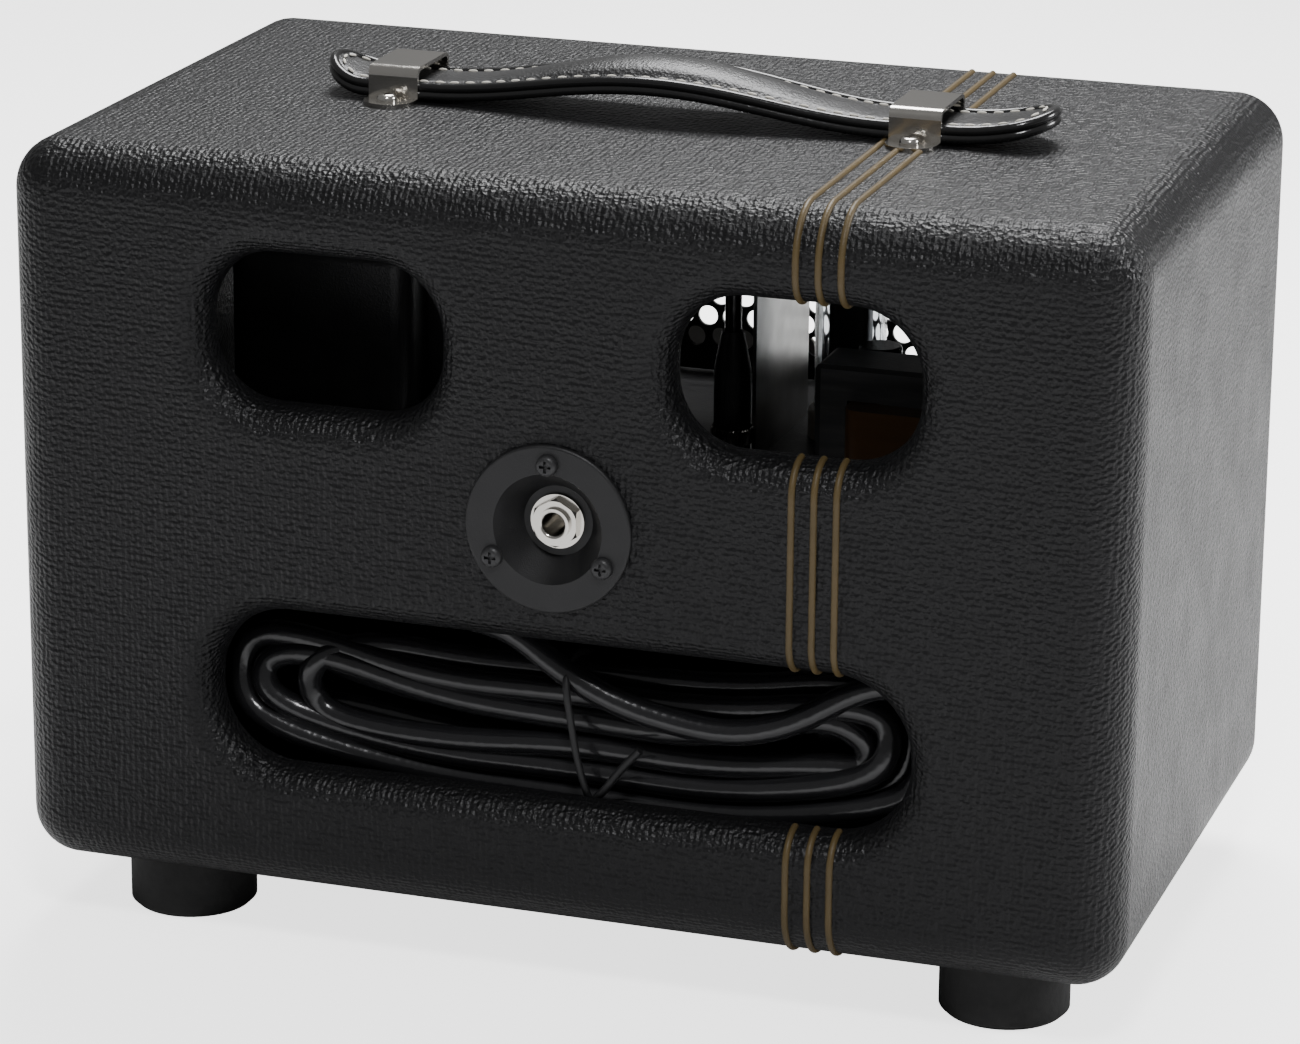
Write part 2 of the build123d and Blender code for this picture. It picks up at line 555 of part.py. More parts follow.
# ---- transformers, valves, board ---------------------------------------------------------------
def mains_transformer():
    """Laminated core on edge between two pressed end covers, held by four long bolts."""
    w, t, h = MAINS_CORE
    cx, cy = MAINS_CENTRE
    foot = CHASSIS_TOP
    core = block(cx - w / 2, cx + w / 2, cy - t / 2, cy + t / 2, foot, foot + h)
    bells = []
    inset = MAINS_BELL_INSET
    bolt_places = [(cx + sx * (w / 2 - 5), foot + h / 2 + sz * (h / 2 - 5)) for sx in (-1, 1) for sz in (-1, 1)]
    for side in (-1, 1):
        face = cy + side * t / 2
        rim = block(cx - w / 2, cx + w / 2, face, face + side * 1.2, foot, foot + h)
        dome = block(
            cx - w / 2 + inset, cx + w / 2 - inset, face, face + side * MAINS_BELL, foot + inset, foot + h - inset
        )
        outer = dome.faces().sort_by(Axis.Y)[-1 if side > 0 else 0]
        dome = fillet(dome.edges().filter_by(Axis.Y) + outer.edges(), 6.0)
        bell = rim + dome
        for x, z in bolt_places:
            bell -= rod_y(x, z, face - 3, face + 3, 4.4)
            bell -= rod_y(x, z, face + side * 1.2, face + side * 9, 8.2)
        bells.append(bell)
    for x, z in bolt_places:
        core -= rod_y(x, z, cy - t, cy + t, 4.4)
    bolts = []
    for x, z in bolt_places:
        reach = t / 2 + 1.2
        bolt = rod_y(x, z, cy - reach - 3.5, cy + reach, 4.0)
        bolt += hex_y(x, z, cy + reach, cy + reach + 2.8, 7.0)
        bolt += hex_y(x, z, cy - reach - 2.8, cy - reach, 7.0)
        bolts.append(bolt)
    write("mains_transformer_core", core)
    write("mains_transformer_covers", group(bells))
    write("mains_transformer_bolts", group(bolts))


def output_transformer():
    """A small laminated core with a paper-wrapped coil, under a bent strap frame."""
    w, t, h = OUTPUT_CORE
    cx, cy = OUTPUT_CENTRE
    foot = CHASSIS_TOP + OUTPUT_FRAME_T
    window = (w * 0.19, h * 0.5)
    core = block(cx - w / 2, cx + w / 2, cy - t / 2, cy + t / 2, foot, foot + h)
    for side in (-1, 1):
        core -= Pos(cx + side * w * 0.25, cy, foot + h / 2) * Box(window[0], t + 2, window[1])
    coil_w = w * 0.25 + window[0] * 0.9
    coil = Pos(cx, cy, foot + h / 2) * Box(coil_w * 1.55, t + 2 * OUTPUT_COIL_PROUD, window[1] - 0.4)
    coil = fillet(coil.edges().filter_by(Axis.Z), 5.0)
    coil -= Pos(cx, cy, foot + h / 2) * Box(w * 0.31, t, window[1] + 1)
    coil = coil - core
    t1 = OUTPUT_FRAME_T
    frame = block(cx - w / 2 - t1, cx + w / 2 + t1, cy - t / 2, cy + t / 2, foot, foot + h + t1)
    frame = fillet(frame.edges().filter_by(Axis.Y).sort_by(Axis.Z)[-2:], 2.0)
    frame -= block(cx - w / 2, cx + w / 2, cy - t, cy + t, foot - 1, foot + h)
    for side in (-1, 1):
        edge = cx + side * (w / 2 + t1)
        ear = block(edge, edge + side * 12, cy - t / 2, cy + t / 2, foot - t1, foot)
        ear += block(edge - side * t1, edge, cy - t / 2, cy + t / 2, foot - t1, foot)
        ear -= rod_z(edge + side * 6.5, cy, foot - 3, foot + 3, 4.2)
        frame += ear
    write("output_transformer_core", core)
    write("output_transformer_coil", coil)
    write("output_transformer_frame", frame)
    write("output_transformer_screws", group(
        screw(cx + side * (w / 2 + t1 + 6.5), cy, foot, 7.0, 2.4, 3.8, t1) for side in (-1, 1)
    ))


def valve(name, place):
    """A glass envelope on a moulded socket, with its plates, mica discs and getter inside."""
    x, y, height = place
    seat = CHASSIS_TOP + SOCKET_H
    r = VALVE_D / 2
    tip = seat + height
    outer = rod_z(x, y, seat, tip - 2, VALVE_D)
    outer = fillet(outer.edges().sort_by(Axis.Z)[-1:], r * 0.8)
    outer += Pos(x, y, tip - 2.6) * Cone(3.2, 0.8, 5.0)
    inner = rod_z(x, y, seat + 2, tip - 2 - VALVE_GLASS_T, VALVE_D - 2 * VALVE_GLASS_T)
    inner = fillet(inner.edges().sort_by(Axis.Z)[-1:], (r - VALVE_GLASS_T) * 0.8)
    glass = outer - inner
    pins = []
    for n in range(9):
        angle = radians(36 * n)
        pins.append(rod_z(x + 5.9 * cos(angle), y + 5.9 * sin(angle), seat - 6, seat, 1.0))
    write(f"{name}_valve_glass", glass)
    low = seat + 2 + SEAT_GAP
    stem = low + height * 0.62
    works = rod_z(x, y, low, stem, 1.6)
    for z in (low + height * 0.12, stem - 1.2):
        works += rod_z(x, y, z, z + 1.0, VALVE_D - 2 * VALVE_GLASS_T - 0.6)
    plate = Pos(x, y, (low + height * 0.14 + stem) / 2) * Box(12.5, 8.5, height * 0.44)
    works += fillet(plate.edges().filter_by(Axis.Z), 2.5)
    works += Pos(x, y, stem + 4) * Torus(4.5, 0.7)
    works += rod_z(x + 4.5, y, stem - 1, stem + 4, 0.9)
    return works, pins


def valves():
    """Both valves, their sockets and what they hold."""
    sockets = []
    for name, place in (("power", POWER_VALVE), ("preamp", PREAMP_VALVE)):
        x, y, _ = place
        works, pins = valve(name, place)
        write(f"{name}_valve_electrodes", works)
        socket = rod_z(x, y, CHASSIS_TOP, CHASSIS_TOP + SOCKET_H, SOCKET_D)
        socket = fillet(socket.edges().sort_by(Axis.Z)[-1:], 1.5)
        socket += rod_z(x, y, CHASSIS_TOP - 10, CHASSIS_TOP, SOCKET_NECK_D)
        sockets.append(socket)
    write("valve_sockets", group(sockets))
    x, y, d, height = SMOOTHING_CAP
    can = rod_z(x, y, CHASSIS_TOP, CHASSIS_TOP + height, d)
    can = fillet(can.edges().sort_by(Axis.Z)[-1:], 1.0)
    groove = rod_z(x, y, CHASSIS_TOP + height - 5, CHASSIS_TOP + height - 4, d + 2)
    can -= groove - rod_z(x, y, CHASSIS_TOP, CHASSIS_TOP + height, d - 0.8)
    write("smoothing_capacitor", can)
    plate = block(SHIELD_PLATE_X, SHIELD_PLATE_X + 1.2, -48, 6, CHASSIS_TOP, CHASSIS_TOP + SHIELD_PLATE_H)
    plate += block(SHIELD_PLATE_X, SHIELD_PLATE_X + 12, -48, 6, CHASSIS_TOP, CHASSIS_TOP + 1.2)
    for y in (-40, -2):
        plate -= rod_z(SHIELD_PLATE_X + 7, y, CHASSIS_TOP - 1, CHASSIS_TOP + 2, 3.4)
    write("shield_plate", plate)


def circuit_board():
    """The board under the chassis top on four pillars, with its bigger components."""
    w, d, t = BOARD_SIZE
    cx, cy = BOARD_CENTRE
    top = CHASSIS_TOP - SHEET_T - BOARD_DROP
    board = block(cx - w / 2, cx + w / 2, cy - d / 2, cy + d / 2, top - t, top)
    corners = [(cx + sx * (w / 2 - 6), cy + sy * (d / 2 - 6)) for sx in (-1, 1) for sy in (-1, 1)]
    for x, y in corners:
        board -= rod_z(x, y, top - t - 1, top + 1, 3.2)
    write("circuit_board", board)
    pillars = []
    for x, y in corners:
        pillar = rod_z(x, y, top, CHASSIS_TOP - SHEET_T, 6.0) + rod_z(x, y, top - t, top, 3.0)
        pillars.append(pillar + rod_z(x, y, top - t - 2.2, top - t, 5.6))
    write("board_pillars", group(pillars))
    low = top - t
    pieces = [
        rod_z(cx - 30, cy + 10, low - 14, low, 18.0),
        rod_z(cx + 2, cy + 10, low - 12, low, 13.0),
        rod_z(cx + 24, cy + 12, low - 12, low, 13.0),
    ]
    for n in range(6):
        pieces.append(rod_x(cy - 16, low - 2.6, cx - 50 + 17 * n, cx - 39 + 17 * n, 4.4))
        pieces.append(block(cx - 50 + 17 * n, cx - 38 + 17 * n, cy - 9, cy - 3.5, low - 8, low))
    for n in range(6):
        x0 = cx - 50 + 17 * n
        for x in (x0 - 1.5, x0 + 12.5):
            pieces.append(block(x - 0.35, x + 0.35, cy - 16.35, cy - 15.65, low - 2.95, low))
            way = 1.5 if x < x0 else -1.5
            pieces[-1] += block(x - 0.35, x + way, cy - 16.35, cy - 15.65, low - 2.95, low - 2.25)
    write("board_components", group(pieces))


# ---- speaker outlet ------------------------------------------------------------------------------
def speaker_outlet():
    """The round dished plate on the back with its jack, and the lead to the chassis socket."""
    floor_y = BACK_Y - DISH_DEPTH
    cup_d = DISH_D - 2 * DISH_RIM_W - 2 * SEAT_GAP
    plate = rod_y(0, DISH_Z, BACK_Y, BACK_Y + DISH_T, DISH_D)
    plate = fillet(plate.faces().sort_by(Axis.Y)[-1].edges(), 0.9)
    cup = Pos(0, (floor_y - DISH_T + BACK_Y) / 2, DISH_Z) * Rot(-90, 0, 0)
    cup_h = BACK_Y - floor_y + DISH_T
    plate += cup * Cone(DISH_FLOOR_D / 2 + DISH_T, cup_d / 2, cup_h)
    hollow_h = DISH_DEPTH + DISH_T
    hollow = Pos(0, floor_y + hollow_h / 2, DISH_Z) * Rot(-90, 0, 0)
    plate -= hollow * Cone(DISH_FLOOR_D / 2, cup_d / 2 - 2.2, hollow_h)
    plate -= rod_y(0, DISH_Z, floor_y - 9, BACK_Y + 9, JACK_BUSHING_D + 0.2)
    places = [
        (DISH_SCREW_R * sin(radians(turn)), DISH_Z + DISH_SCREW_R * cos(radians(turn))) for turn in (0, 120, 240)
    ]
    screws = []
    for x, z in places:
        pointing_in = Pos(x, BACK_Y + DISH_T, z) * Rot(-90, 0, 0)
        screws.append(pointing_in * screw(0, 0, 0, DISH_SCREW_D, 2.2, 2.6, DISH_T))
        plate -= rod_y(x, z, BACK_Y - 1, BACK_Y + DISH_T + 1, 2.8)
    write("jack_dish", plate)
    write("dish_screws", group(screws))
    washer = rod_y(0, DISH_Z, floor_y, floor_y + 1.0, JACK_WASHER_D) - rod_y(
        0, DISH_Z, floor_y - 1, floor_y + 2, JACK_BUSHING_D
    )
    write("speaker_jack_washer", washer)
    nut_y = floor_y + 1.0
    nut = hex_y(0, DISH_Z, nut_y, nut_y + JACK_NUT_T, JACK_NUT_AF)
    nut &= Pos(0, nut_y + JACK_NUT_T / 2, DISH_Z) * Rot(-90, 0, 0) * Cone(8.6, 6.6, JACK_NUT_T)
    nut -= rod_y(0, DISH_Z, nut_y - 1, nut_y + 9, JACK_BUSHING_D)
    write("speaker_jack_nut", nut)
    back_end = floor_y - DISH_T
    jack = rod_y(0, DISH_Z, back_end, nut_y + JACK_NUT_T + 1.4, JACK_BUSHING_D)
    jack += rod_y(0, DISH_Z, back_end - JACK_BODY_L, back_end, JACK_BODY_D)
    for x in (-4, 4):
        jack += block(x - 1.6, x + 1.6, back_end - JACK_BODY_L - 5, back_end - JACK_BODY_L, DISH_Z - 4, DISH_Z - 3.2)
    jack -= rod_y(0, DISH_Z, back_end - JACK_BODY_L + 3, BACK_Y + 9, JACK_BORE_D)
    mouth = jack.edges().filter_by(GeomType.CIRCLE).sort_by(Axis.Y)[-2:].sort_by(SortBy.RADIUS)[0]
    write("speaker_jack", fillet([mouth], 0.9))
    socket = rod_z(SPEAKER_PLUG_X, SPEAKER_PLUG_Y, CHASSIS_TOP - SHEET_T - 16, CHASSIS_TOP - SHEET_T, 16.0)
    socket += rod_z(SPEAKER_PLUG_X, SPEAKER_PLUG_Y, CHASSIS_TOP - SHEET_T, CHASSIS_TOP + 4, JACK_BUSHING_D)
    socket -= rod_z(SPEAKER_PLUG_X, SPEAKER_PLUG_Y, CHASSIS_TOP - 13, CHASSIS_TOP + 9, SHAFT_D + 0.1)
    write("chassis_speaker_socket", socket)
    base = CHASSIS_TOP + 4 + SEAT_GAP
    top = base + SPEAKER_PLUG_H * 0.7
    plug = rod_z(SPEAKER_PLUG_X, SPEAKER_PLUG_Y, base, top, SPEAKER_PLUG_D)
    plug += rod_z(SPEAKER_PLUG_X, SPEAKER_PLUG_Y, base + 4, base + 9, SPEAKER_PLUG_D + 1.0)
    plug += Pos(SPEAKER_PLUG_X, SPEAKER_PLUG_Y, top + SPEAKER_PLUG_H * 0.15) * Cone(
        SPEAKER_PLUG_D / 2, LEAD_D / 2 + 0.8, SPEAKER_PLUG_H * 0.3
    )
    plug += rod_z(SPEAKER_PLUG_X, SPEAKER_PLUG_Y, CHASSIS_TOP - 12, base, SHAFT_D)
    write("speaker_plug", plug)
    lead_low = base + SPEAKER_PLUG_H
    end_y = back_end - JACK_BODY_L - 5
    route = FilletPolyline(
        (SPEAKER_PLUG_X, SPEAKER_PLUG_Y, lead_low),
        (SPEAKER_PLUG_X, SPEAKER_PLUG_Y, lead_low + 18),
        (SPEAKER_PLUG_X + 14, end_y - 12, lead_low + 18),
        (-4, end_y - 12, DISH_Z - 3.6),
        (-4, end_y, DISH_Z - 3.6),
        radius=7.0,
    )
    lead = sweep(Plane(route @ 0, z_dir=route % 0) * Circle(LEAD_D / 2), path=route)
    write("speaker_lead", lead)


# ---- mains lead ------------------------------------------------------------------------------------
def cord_stretch(points):
    """A plain tube along straight runs with tangent arcs; the radii are printed."""
    runs = [sqrt(sum((b - a) ** 2 for a, b in zip(p, q))) for p, q in zip(points, points[1:])]
    wire = []
    start = Vector(*points[0])
    for n in range(1, len(points) - 1):
        corner = Vector(*points[n])
        before = (corner - Vector(*points[n - 1])).normalized()
        after = (Vector(*points[n + 1]) - corner).normalized()
        turn = radians(before.get_angle(after))
        cut = 0.45 * min(runs[n - 1], runs[n])
        radius = cut / tan(turn / 2)
        print(f"cord corner {n}: turn {turn * 180 / pi:.0f} deg, radius {radius:.1f} mm")
        arc_from = corner - before * cut
        arc_to = corner + after * cut
        bisector = (after - before).normalized()
        centre = corner + bisector * (radius / cos(turn / 2))
        arc_mid = centre - bisector * radius
        wire.append(Line(start, arc_from))
        wire.append(ThreePointArc(arc_from, arc_mid, arc_to))
        start = arc_to
    wire.append(Line(start, Vector(*points[-1])))
    path = Wire(wire)
    tube = sweep(Plane(path @ 0, z_dir=path % 0) * Circle(CORD_D / 2), path=path)
    print(f"cord stretch: {path.length:.1f} mm, volume ratio {tube.volume / (pi * CORD_D**2 / 4 * path.length):.3f}")
    return tube


EXIT_Y = CHASSIS_BACK_Y + RELIEF_PROUD
LEAD_IN = [
    (CORD_EXIT[0], EXIT_Y, CORD_EXIT[1]),
    (66.0, 58.0, 116.0),
    (63.5, 67.0, 115.0),
    (56.0, 74.5, 112.5),
    (44.0, 78.0, 108.5),
    (31.0, 79.0, 105.0),
    (18.0, 79.0, 102.9),
]
LEAD_OUT = [
    (-6.0, 66.8, 82.0),
    (-18.0, 58.5, 79.5),
    (-31.0, 52.0, 78.0),
    PLUG_START,
]


def mains_lead():
    """Strain relief, the free lead folded into a tied hank, and its moulded plug."""
    x, z = CORD_EXIT
    relief = rod_y(x, z, CHASSIS_BACK_Y, CHASSIS_BACK_Y + 3, RELIEF_D)
    relief = fillet(relief.faces().sort_by(Axis.Y)[-1].edges(), 1.0)
    relief += rod_y(x, z, CHASSIS_BACK_Y, EXIT_Y, RELIEF_NECK_D)
    relief += rod_y(x, z, CHASSIS_BACK_Y - 8, CHASSIS_BACK_Y, RELIEF_NECK_D)
    write("strain_relief", relief)
    px, py, pz = PLUG_START
    relief_end = px - PLUG_RELIEF_L
    boot = Pos((px + relief_end) / 2, py, pz) * Rot(0, -90, 0) * Cone(CORD_D / 2 + 1.2, 7.5, PLUG_RELIEF_L)
    for n in range(5):
        gx = px - 3.5 - 3.4 * n
        boot -= rod_x(py, pz, gx - 1.2, gx, 30) - rod_x(py, pz, gx - 1.4, gx + 0.2, CORD_D + 1.0 + 0.9 * n)
    body_end = relief_end - PLUG_BODY_L
    body = rod_x(py, pz, body_end, relief_end, PLUG_BODY_W)
    body = fillet(body.edges().filter_by(GeomType.CIRCLE), 3.0)
    plug = boot + body
    blade_tip = body_end - BLADE_L
    blades = []
    for side in (-1, 1):
        y = py + side * BLADE_SPREAD / 2
        pocket = block(body_end - 1, body_end + 6, y - BLADE_SIZE[1] / 2, y + BLADE_SIZE[1] / 2,
                       pz - BLADE_SIZE[0] / 2, pz + BLADE_SIZE[0] / 2)
        plug -= pocket
        blades.append(block(blade_tip, body_end + 6, y - BLADE_SIZE[1] / 2, y + BLADE_SIZE[1] / 2,
                            pz - BLADE_SIZE[0] / 2, pz + BLADE_SIZE[0] / 2))
    plug -= rod_x(py, pz + EARTH_PIN_DROP, body_end - 1, body_end + 6, 4.8)
    blades.append(rod_x(py, pz + EARTH_PIN_DROP, blade_tip - 3, body_end + 6, 4.8))
    write("mains_plug", plug)
    write("plug_blades", group(blades))
    lead_in = cord_stretch(LEAD_IN)
    lead_out = cord_stretch(LEAD_OUT)
    ends = [
        Pos(side * HANK_HALF_L, HANK_Y, HANK_Z) * Rot(0, 90, 0)
        * RectangleRounded(2 * HANK_END_H, 2 * HANK_HALF_D, HANK_HALF_D * 0.95)
        for side in (-1, 1)
    ]
    waist = Pos(0, HANK_Y, HANK_Z) * Rot(0, 90, 0) * RectangleRounded(
        2 * HANK_WAIST_H, 2 * HANK_HALF_D, HANK_HALF_D * 0.95
    )
    hank = loft([ends[0], waist], ruled=True) + loft([waist, ends[1]], ruled=True)
    hank = hank - lead_in - lead_out
    write("mains_cord", group([lead_in, lead_out]))
    write("mains_cord_hank", hank)
    half_d = HANK_HALF_D + SEAT_GAP
    half_h = HANK_WAIST_H + SEAT_GAP
    inner = Rot(0, 90, 0) * RectangleRounded(2 * half_h, 2 * half_d, half_d * 0.95)
    outer = Rot(0, 90, 0) * RectangleRounded(2 * (half_h + TIE_T), 2 * (half_d + TIE_T), half_d * 0.95 + TIE_T)
    band = extrude(outer, TIE_W / 2, both=True) - extrude(inner, TIE_W / 2 + 1, both=True)
    tie = Pos(0, HANK_Y, HANK_Z) * band
    tail_y = HANK_Y + half_d + TIE_T
    tie += block(-22, 1.5, tail_y - TIE_T, tail_y, HANK_Z - 6, HANK_Z - 3)
    write("hank_tie", tie - hank)


# ---- feet ------------------------------------------------------------------------------------------
def feet():
    """Four rubber feet, each held by a screw up through its counterbore."""
    pads = []
    screws = []
    for x, y in FOOT_PLACES:
        pad = rod_z(x, y, 0, FOOT_H, FOOT_D)
        pad = chamfer(pad.edges().sort_by(Axis.Z)[:1], 1.5)
        pad -= rod_z(x, y, -1, FOOT_H * 0.6, 13.0)
        pad -= rod_z(x, y, 0, FOOT_H + 1, 4.6)
        pads.append(pad)
        head = rod_z(x, y, FOOT_H * 0.6 - 3, FOOT_H * 0.6, 9.0)
        screws.append(head + rod_z(x, y, FOOT_H * 0.6, FOOT_H, 4.2))
    write("rubber_feet", group(pads))
    write("foot_screws", group(screws))


# ---- build -----------------------------------------------------------------------------------------
def main():
    """Build every node and write it."""
    os.makedirs("parts", exist_ok=True)
    clips = [clip_solid(x) for x in CLIP_XS]
    beads = bead_solids()
    shell = cabinet_shell()
    for bead in beads:
        shell -= bead
    clip_screws = []
    for x in CLIP_XS:
        for side in (-1, 1):
            seat = CABINET_TOP + CLIP_T
            clip_screws.append(screw(x, side * CLIP_SCREW_Y, seat, 6.0, 2.2, CLIP_SCREW_SHANK, 12.0))
            shell -= rod_z(x, side * CLIP_SCREW_Y, CABINET_TOP - 12.5, CABINET_TOP + 1, CLIP_SCREW_SHANK + 0.1)
    write("cabinet", shell)
    trimmed = []
    for bead in beads:
        cut = bead
        for tool in clips + clip_screws:
            cut = cut - tool
        trimmed.extend(cut.solids())
    write("gold_piping", group(trimmed))
    write("handle_clips", group(clips))
    write("clip_screws", group(clip_screws))
    write("handle_strap", strap_solid())
    write("chassis", chassis_tray())
    front_pieces()
    control_pieces()
    mains_transformer()
    output_transformer()
    valves()
    circuit_board()
    speaker_outlet()
    mains_lead()
    feet()


main()
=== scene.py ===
"""A small valve guitar amplifier head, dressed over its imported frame, with lights and camera."""

import json
import logging
import math
import random
from dataclasses import dataclass, field
from enum import Enum

import bmesh
import bpy
from mathutils import Matrix, Vector


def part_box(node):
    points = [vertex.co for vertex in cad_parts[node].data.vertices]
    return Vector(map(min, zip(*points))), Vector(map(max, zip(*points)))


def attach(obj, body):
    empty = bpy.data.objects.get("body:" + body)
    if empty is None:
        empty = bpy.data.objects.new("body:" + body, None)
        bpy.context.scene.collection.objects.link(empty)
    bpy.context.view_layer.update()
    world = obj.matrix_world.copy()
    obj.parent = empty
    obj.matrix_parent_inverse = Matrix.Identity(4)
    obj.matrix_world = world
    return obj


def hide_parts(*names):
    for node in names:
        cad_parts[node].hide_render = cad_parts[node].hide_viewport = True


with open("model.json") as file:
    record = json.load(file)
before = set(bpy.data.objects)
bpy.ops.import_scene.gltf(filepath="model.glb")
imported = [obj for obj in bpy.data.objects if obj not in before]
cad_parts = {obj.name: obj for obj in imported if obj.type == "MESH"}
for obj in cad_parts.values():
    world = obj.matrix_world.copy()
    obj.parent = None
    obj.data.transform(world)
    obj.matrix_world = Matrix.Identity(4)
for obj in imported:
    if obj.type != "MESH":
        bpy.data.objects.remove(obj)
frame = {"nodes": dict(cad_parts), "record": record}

log = logging.getLogger("amplifier")
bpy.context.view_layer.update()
MM = 0.001
Triple = tuple[float, float, float]
Tree = bpy.types.NodeTree
Socket = bpy.types.NodeSocket


class Pattern(Enum):
    """What the fine surface of a finish looks like."""

    GRAIN = "grain"
    WEAVE = "weave"
    BRUSHED = "brushed"
    MOTTLED = "mottled"
    WOOD = "wood"


@dataclass(frozen=True)
class Finish:
    """One material: its colours, its gloss and the relief of its surface.

    Sizes are in metres: cell is the width of one grain of the relief.
    """

    name: str
    colour: Triple
    second: Triple
    roughness: float
    metallic: float = 0.0
    pattern: Pattern = Pattern.GRAIN
    cell: float = 0.0006
    relief: float = 0.15
    coat: float = 0.0
    transmission: float = 0.0
    ior: float = 1.5
    specular: float = 0.5


VINYL = Finish(
    "black_vinyl", (0.0030, 0.0030, 0.0032), (0.0070, 0.0070, 0.0075), 0.36,
    pattern=Pattern.WEAVE, cell=0.0015, relief=0.55, specular=0.30,
)
GOLD = Finish(
    "gold_bead", (0.105, 0.074, 0.030), (0.065, 0.046, 0.02), 0.45, cell=0.0008, relief=0.2,
    specular=0.35,
)
NICKEL = Finish(
    "nickel", (0.70, 0.68, 0.64), (0.50, 0.48, 0.45), 0.17, metallic=1.0, cell=0.004, relief=0.03,
)
STEEL = Finish(
    "steel", (0.52, 0.52, 0.51), (0.36, 0.36, 0.35), 0.32, metallic=1.0, pattern=Pattern.BRUSHED,
)
BLACK_STEEL = Finish(
    "black_steel", (0.014, 0.014, 0.015), (0.026, 0.026, 0.027), 0.38, cell=0.0005, relief=0.3,
)
MATTE = Finish(
    "black_plastic", (0.006, 0.006, 0.0065), (0.011, 0.011, 0.0115), 0.48, cell=0.0004,
    relief=0.25,
)
GLOSS = Finish(
    "gloss_black", (0.009, 0.009, 0.010), (0.015, 0.015, 0.016), 0.18, cell=0.003, relief=0.05,
    coat=0.4,
)
CORD = Finish(
    "cord_rubber", (0.008, 0.008, 0.009), (0.013, 0.013, 0.014), 0.22, cell=0.002, relief=0.10,
    coat=0.25,
)
FOOT = Finish(
    "foot_rubber", (0.007, 0.007, 0.007), (0.022, 0.022, 0.021), 0.70, pattern=Pattern.MOTTLED,
    cell=0.0025, relief=0.3,
)
STRAP = Finish(
    "strap_skin", (0.006, 0.006, 0.006), (0.012, 0.012, 0.012), 0.36, cell=0.0009, relief=0.35,
)
PIPING = Finish(
    "strap_edge", (0.008, 0.008, 0.008), (0.013, 0.013, 0.013), 0.20, cell=0.002, relief=0.08,
    coat=0.3,
)
THREAD = Finish(
    "white_thread", (0.72, 0.70, 0.64), (0.50, 0.48, 0.42), 0.75, pattern=Pattern.BRUSHED,
    relief=0.4,
)
WOOD = Finish(
    "bare_wood", (0.46, 0.31, 0.17), (0.33, 0.21, 0.11), 0.60, pattern=Pattern.WOOD, cell=0.004,
    relief=0.2,
)
GLASS = Finish(
    "glass", (0.95, 0.97, 0.98), (0.90, 0.93, 0.95), 0.03, transmission=1.0, cell=0.01,
    relief=0.01,
)
ELECTRODE = Finish(
    "electrode", (0.20, 0.20, 0.21), (0.09, 0.09, 0.10), 0.45, metallic=0.8,
    pattern=Pattern.BRUSHED,
)
CERAMIC = Finish(
    "ceramic", (0.74, 0.71, 0.62), (0.63, 0.59, 0.50), 0.40, cell=0.001, relief=0.1,
)
PAPER = Finish(
    "coil_paper", (0.17, 0.085, 0.03), (0.09, 0.045, 0.018), 0.34, pattern=Pattern.WOOD,
    cell=0.002,
)
BOARD = Finish(
    "board_laminate", (0.03, 0.12, 0.06), (0.02, 0.08, 0.04), 0.42, cell=0.0009, relief=0.2,
)
BRASS = Finish(
    "brass_parts", (0.70, 0.53, 0.24), (0.50, 0.37, 0.16), 0.28, metallic=1.0,
    pattern=Pattern.BRUSHED,
)
JEWEL = Finish(
    "red_jewel", (0.65, 0.015, 0.01), (0.45, 0.01, 0.01), 0.08, transmission=0.5, cell=0.002,
    relief=0.05,
)
LAMINATE = Finish(
    "laminations", (0.16, 0.16, 0.165), (0.05, 0.05, 0.052), 0.42, metallic=0.8,
    pattern=Pattern.WOOD, cell=0.0012,
)

NODE_FINISHES = {
    "cabinet": VINYL,
    "chassis": BLACK_STEEL,
    "front_lower_board": VINYL,
    "mains_transformer_core": LAMINATE,
    "output_transformer_core": LAMINATE,
    "board_components": PAPER,
}
SLOT_FINISHES = {
    finish.name: finish
    for finish in (
        VINYL, GOLD, NICKEL, STEEL, BLACK_STEEL, MATTE, GLOSS, CORD, FOOT, STRAP, WOOD, GLASS, ELECTRODE,
        CERAMIC, PAPER, BOARD, BRASS, JEWEL,
    )
}


